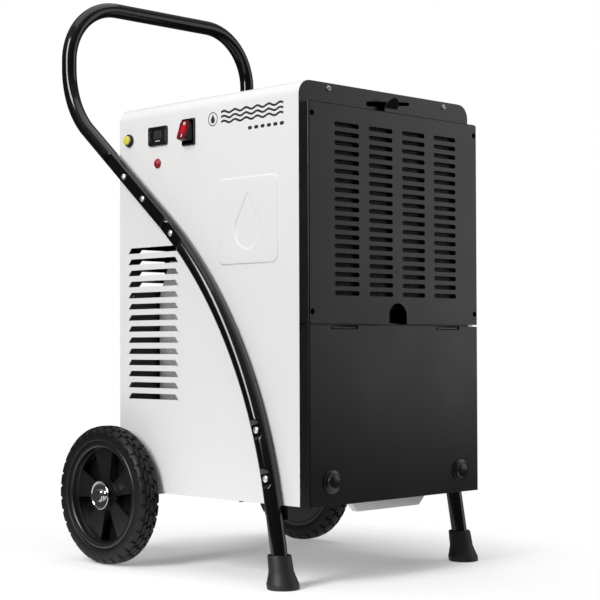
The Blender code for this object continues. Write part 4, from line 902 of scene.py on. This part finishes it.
def build_button():
    """The push button's knurled nut and its cap."""
    bore = 0.0087
    nut = [(bore, 0), (0.0112, 0), (0.0115, 0.0005), (0.0115, 0.0038), (0.0109, 0.0048), (0.0098, 0.0056),
           (0.0089, 0.0056), (bore, 0.005)]

    def knurl(i, radius, _):
        return radius - (0.0006 if radius > 0.0105 and i % 4 < 2 else 0.0)

    make("button_nut", lathe_left(nut, BUTTON_PLACE, 96, closed=True, ripple=knurl), "black_plastic",
         node="button_bezel", smooth=30)
    cap = [(0, 0.01), (0.003, 0.01), (0.0058, 0.0098), (0.0072, 0.0094), (0.008, 0.0087),
           (0.0083, 0.0078), (0.0083, 0.003), (0.006, 0.003), (0.006, -0.012), (0, -0.012)]
    make("button_cap", lathe_left(cap, BUTTON_PLACE, 64), "yellow_plastic", "button",
         node="push_button", smooth=40)


def panel_prism(low, high, radius, steps, outer, inner=0.0):
    """A rounded block on the left wall, between two distances out of it."""
    return prism(rounded_rectangle(low, high, radius, steps), "X", SIDE - outer, SIDE - inner)


def outer_edges(distance):
    """Chooses the edges at a distance out of the left wall."""
    return lambda edge: all(abs(vert.co.x - SIDE + distance) < 1e-6 for vert in edge.verts)


def build_hour_meter():
    """The meter's frame with two side strips of lighter grey, painted highlights on its inner chamfers, and
    its glass with a display and a plain bar on it.
    """
    bm = round_edges(panel_prism(METER_LOW, METER_HIGH, 0.0035, 8, 0.0042), outer_edges(0.0042), 0.001)
    low, high = (0.1075, 0.7655), (0.139, 0.7885)
    bm = cut(bm, panel_prism(low, high, 0.0012, 4, 0.006, 0.0016))
    strips = []
    for y in (0.1012, 0.1442):
        bm = cut(bm, panel_prism((y - 0.0016, 0.765), (y + 0.0016, 0.7865), 0.0012, 4, 0.006, 0.0036))
        strips.append(box((SIDE - 0.0039, y - 0.0013, 0.7655), (SIDE - 0.0034, y + 0.0013, 0.786)))
    make("meter_frame", bm, "black_plastic", node="hour_meter", smooth=30, bevel=0.0002)
    # Painted highlights: the strips' lighter grey stands in for light caught on the frame's inner chamfers.
    make("meter_painted_highlights", combine(strips), "motor_paint", bevel=0.0002)
    make("meter_glass", panel_prism(*inset_box(low, high, 0.0004), 0.001, 4, 0.0024, 0.0017),
         "black_plastic", node="hour_meter_window", bevel=0.0002)
    make("meter_display", panel_prism((0.1125, 0.77), (0.134, 0.785), 0.0008, 4, 0.0028, 0.0022),
         "window", bevel=0.0001)
    make("meter_bar", panel_prism((0.117, 0.7655), (0.1295, 0.767), 0.0003, 3, 0.0029, 0.0023),
         "white_ink")


def rocker_point(z, u, y):
    """A point on the rocker: z along its face, u outwards, y across."""
    x = ROCKER_PIVOT[0] - (u * math.cos(ROCKER_TILT) - z * math.sin(ROCKER_TILT))
    return (x, y, ROCKER_PIVOT[1] + z * math.cos(ROCKER_TILT) + u * math.sin(ROCKER_TILT))


def rocker_face_u(z):
    """Height of the rocker's slightly hollow face."""
    return 0.0083 + 0.0012 * (z / 0.018) ** 2


def rocker_solid(rings):
    """A solid between two rings of (along, outwards, across) places on the rocker."""
    bm = bmesh.new()
    rings = [[bm.verts.new(rocker_point(z, u, SWITCH_MIDDLE[0] + y)) for z, u, y in ring] for ring in rings]
    return skin(bm, rings, rings)


def rocker_patch(outline, lift, thickness):
    """A thin shape that follows the rocker's face; outline in (across, along)."""
    return rocker_solid([[(z, rocker_face_u(z) + height, y) for y, z in outline]
                         for height in (lift, lift - thickness)])


def build_switch():
    """The switch's frame, its tilted cap, the red lens over it with a painted glow in its middle and painted
    shade round it, and the generic marks.
    """
    bm = round_edges(panel_prism(SWITCH_LOW, SWITCH_HIGH, 0.0022, 5, 0.0034), outer_edges(0.0034), 0.0009)
    low, high = inset_box(SWITCH_LOW, SWITCH_HIGH, 0.002)
    bm = join(bm, box((SIDE - 0.0005, *low), (-0.193, *high)))
    low, high = inset_box(SWITCH_LOW, SWITCH_HIGH, 0.0029)
    bm = cut(bm, box((SIDE - 0.01, *low), (-0.195, *high)))
    make("switch_frame", bm, "black_plastic", node="power_switch_base", smooth=30, bevel=0.0002)
    half, corner = 0.0137, (0.0178, 0.003)
    side_view = [(z, rocker_face_u(z)) for z in (0.0018 * k for k in range(10, -11, -1))]
    side_view += [(-corner[0], corner[1])] + arc((0, 0), 0.0165, -160, -20, 10) + [corner]
    limit = rounded_rectangle((-half - 0.0005, -0.0182), (half + 0.0005, 0.0182), 0.009, 10)
    bm = boolean(rocker_solid([[(z, u, y) for z, u in side_view] for y in (-half, half)]),
                 rocker_solid([[(z, u, y) for y, z in limit] for u in (-0.025, 0.025)]), "INTERSECT")
    make("rocker_cap", bm, "rocker_frame", "rocker", node="power_rocker",
         smooth=25, bevel=0.0008, segments=3)
    lens = rounded_rectangle((-0.0127, -0.017), (0.0127, 0.017), 0.0083, 8)
    glow = rounded_rectangle((-0.0066, -0.008), (0.0066, 0.008), 0.003, 6)
    stroke = rounded_rectangle((-0.0012, -0.0142), (0.0012, -0.0086), 0.0008, 3)
    circle_middle = (0, 0.0115)
    circle_parts = [arc(circle_middle, 0.003, a, a + 24, 2) + arc(circle_middle, 0.0014, a + 24, a, 2)
                    for a in range(0, 360, 24)]
    # The lens's darker red is painted shade, and the brighter patch over its middle is a painted glow, not a
    # lamp.
    make("rocker_lens", rocker_patch(lens, 0.0003, 0.0008), "shaded_lens_red", "rocker",
         bevel=0.0002)
    make("rocker_painted_glow", rocker_patch(glow, 0.0014, 0.001), "red_plastic", "rocker", bevel=0.0001)
    make("rocker_mark_on", rocker_patch(stroke, 0.0009, 0.0005), "white_ink", "rocker")
    make("rocker_mark_off", combine([rocker_patch(part, 0.0009, 0.0005) for part in circle_parts]),
         "white_ink", "rocker")


def build_lamp():
    """The domed signal lamp with its collar, and its body behind the wall."""
    behind = SIDE + 0.196
    profile = [(0, 0.0062), (0.0022, 0.006), (0.0042, 0.0054), (0.0058, 0.0044), (0.0068, 0.0031),
               (0.0074, 0.0024), (0.0083, 0.002), (0.0087, 0.0013), (0.0087, 0), (0.0068, 0),
               (0.0068, behind), (0, behind)]
    make("signal_lamp", lathe_left(profile, LAMP_PLACE, 64), "lamp_red", node="indicator_lamp",
         smooth=40)


# ------------------------ CAD nodes that stay, with finer finishes
KEPT = {
    "aluminium": ("condenser", "evaporator"),
    "motor_paint": ("compressor", "fan_motor"),
    "copper": ("discharge_pipe", "suction_pipe"),
    "black_plastic": ("drip_tray", "fan", "cable_gland", "tank_handle"),
    "galvanised": ("fan_shroud", "mid_deck", "motor_bracket", "partition", "control_box"),
    "yellow_plastic": ("tank_float",),
}


def dress_cad_nodes():
    """Give the CAD nodes that nothing replaces their procedural finishes."""
    for material, names in KEPT.items():
        for name in names:
            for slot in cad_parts[name].material_slots:
                slot.material = MATERIAL[material]


# ------------------------ stage: floor, lights, camera
def build_stage():
    """A round pale floor that fades out round the object."""
    height, sides = -0.0002, 64
    bm = bmesh.new()
    rings = [[bm.verts.new((0, 0, height))] * sides]
    for radius in (1.0, 2.0, 3.0, 4.0):
        rings.append([bm.verts.new((x, y, height)) for x, y in circle((0, 0), radius, sides)])
    mesh = mesh_of(skin(bm, rings), "studio_floor")
    mat, add, remap, links, shader = new_material(
        "studio_floor", Base_Color=(0.93, 0.93, 0.93, 1), Roughness=0.9, Specular_IOR_Level=0.1,
        Emission_Color=(1, 1, 1, 1), Emission_Strength=0.25)
    place = add("ShaderNodeTexCoord").outputs["Object"]
    off_centre = add("ShaderNodeVectorMath", operation="ADD")
    off_centre.inputs[1].default_value = (0.16, 0.0, 0.0)
    length = add("ShaderNodeVectorMath", operation="LENGTH")
    links.new(place, off_centre.inputs[0])
    links.new(off_centre.outputs["Vector"], length.inputs[0])
    fade = remap(length.outputs["Value"], (0.36, 0.8), (1, 0), interpolation_type="SMOOTHSTEP")
    links.new(fade, shader.inputs["Alpha"])
    mesh.materials.append(mat)
    linked_object("studio_floor", mesh)


def area_light(name, place, target, size, strength, size_y=None):
    """A soft box at a place, aimed at a target; strength is its surface brightness."""
    data = bpy.data.lights.new(name, "AREA")
    data.shape = "RECTANGLE"
    data.size, data.size_y = size, size_y or size
    data.energy = strength * math.pi * data.size * data.size_y
    lamp = linked_object(name, data)
    lamp.location = place
    lamp.rotation_mode = "QUATERNION"
    lamp.rotation_quaternion = (Vector(target) - Vector(place)).to_track_quat("-Z", "Y")
    lamp.visible_camera = False


def build_lights():
    """A white backdrop for the camera, a dim graded surround for the object, and three soft boxes."""
    world = bpy.data.worlds.new("studio")
    bpy.context.scene.world = world
    world.use_nodes = True
    world.node_tree.nodes.clear()
    add, remap = node_tools(world.node_tree)
    links = world.node_tree.links
    mix, ambient, white = add("ShaderNodeMixShader"), add("ShaderNodeBackground"), add("ShaderNodeBackground")
    white.inputs["Color"].default_value = (1, 1, 1, 1)
    split = add("ShaderNodeSeparateXYZ")
    links.new(add("ShaderNodeTexCoord").outputs["Generated"], split.inputs["Vector"])
    links.new(remap(split.outputs["Z"], (0.1, 0.8), (0.08, 0.38), interpolation_type="SMOOTHSTEP"),
              ambient.inputs["Strength"])
    links.new(add("ShaderNodeLightPath").outputs["Is Camera Ray"], mix.inputs["Fac"])
    links.new(ambient.outputs["Background"], mix.inputs[1])
    links.new(white.outputs["Background"], mix.inputs[2])
    links.new(mix.outputs["Shader"], add("ShaderNodeOutputWorld").inputs["Surface"])
    area_light("left_strip", (-2.6, -0.3, 1.8), (0, 0, 0.6), 0.8, 14.2, 2.1)
    area_light("top_softbox", (0.0, 0.0, 2.9), (0, 0, 0), 2.4, 1.2)
    area_light("right_softbox", (2.6, -1.85, 1.22), (0, -0.3, 0.6), 2.1, 1.12, 2.3)


def build_camera():
    """The photo's camera, from a fit of the cabinet's edges, the wheels and the feet."""
    yaw, pitch, roll = (math.radians(a) for a in (44.75, 1.04, -0.2))
    forward = Vector((math.sin(yaw) * math.cos(pitch), math.cos(yaw) * math.cos(pitch), math.sin(pitch)))
    right = Vector((math.cos(yaw), -math.sin(yaw), 0))
    up = right.cross(forward)
    across = math.cos(roll) * right + math.sin(roll) * up
    upward = -math.sin(roll) * right + math.cos(roll) * up
    data = bpy.data.cameras.new("photo_camera")
    data.lens = 92.634
    data.sensor_width = 36
    data.shift_y = 0.0264
    camera = linked_object("photo_camera", data)
    turn = Matrix((across, upward, -forward)).transposed().to_4x4()
    camera.matrix_world = Matrix.Translation((-1.9916, -2.08725, 0.4003)) @ turn
    bpy.context.scene.camera = camera


# ------------------------ build everything
build_camera()
for build in (build_tube, build_screws, build_feet, build_housing, build_emboss, build_print,
              build_front_plate, build_grille_cover, build_filter, build_door):
    build()
for wheel_sign, wheel_side in SIDES:
    build_wheel(wheel_sign, wheel_side)
for build in (build_axle, build_button, build_hour_meter, build_switch, build_lamp, build_rear_panel):
    build()
refined("under_pan", "base_pan", "black_paint", "chassis")
refined("water_tank", "tank", "tank_plastic", "tank")
dress_cad_nodes()
build_stage()
build_lights()
bpy.context.scene.view_settings.view_transform = "Standard"
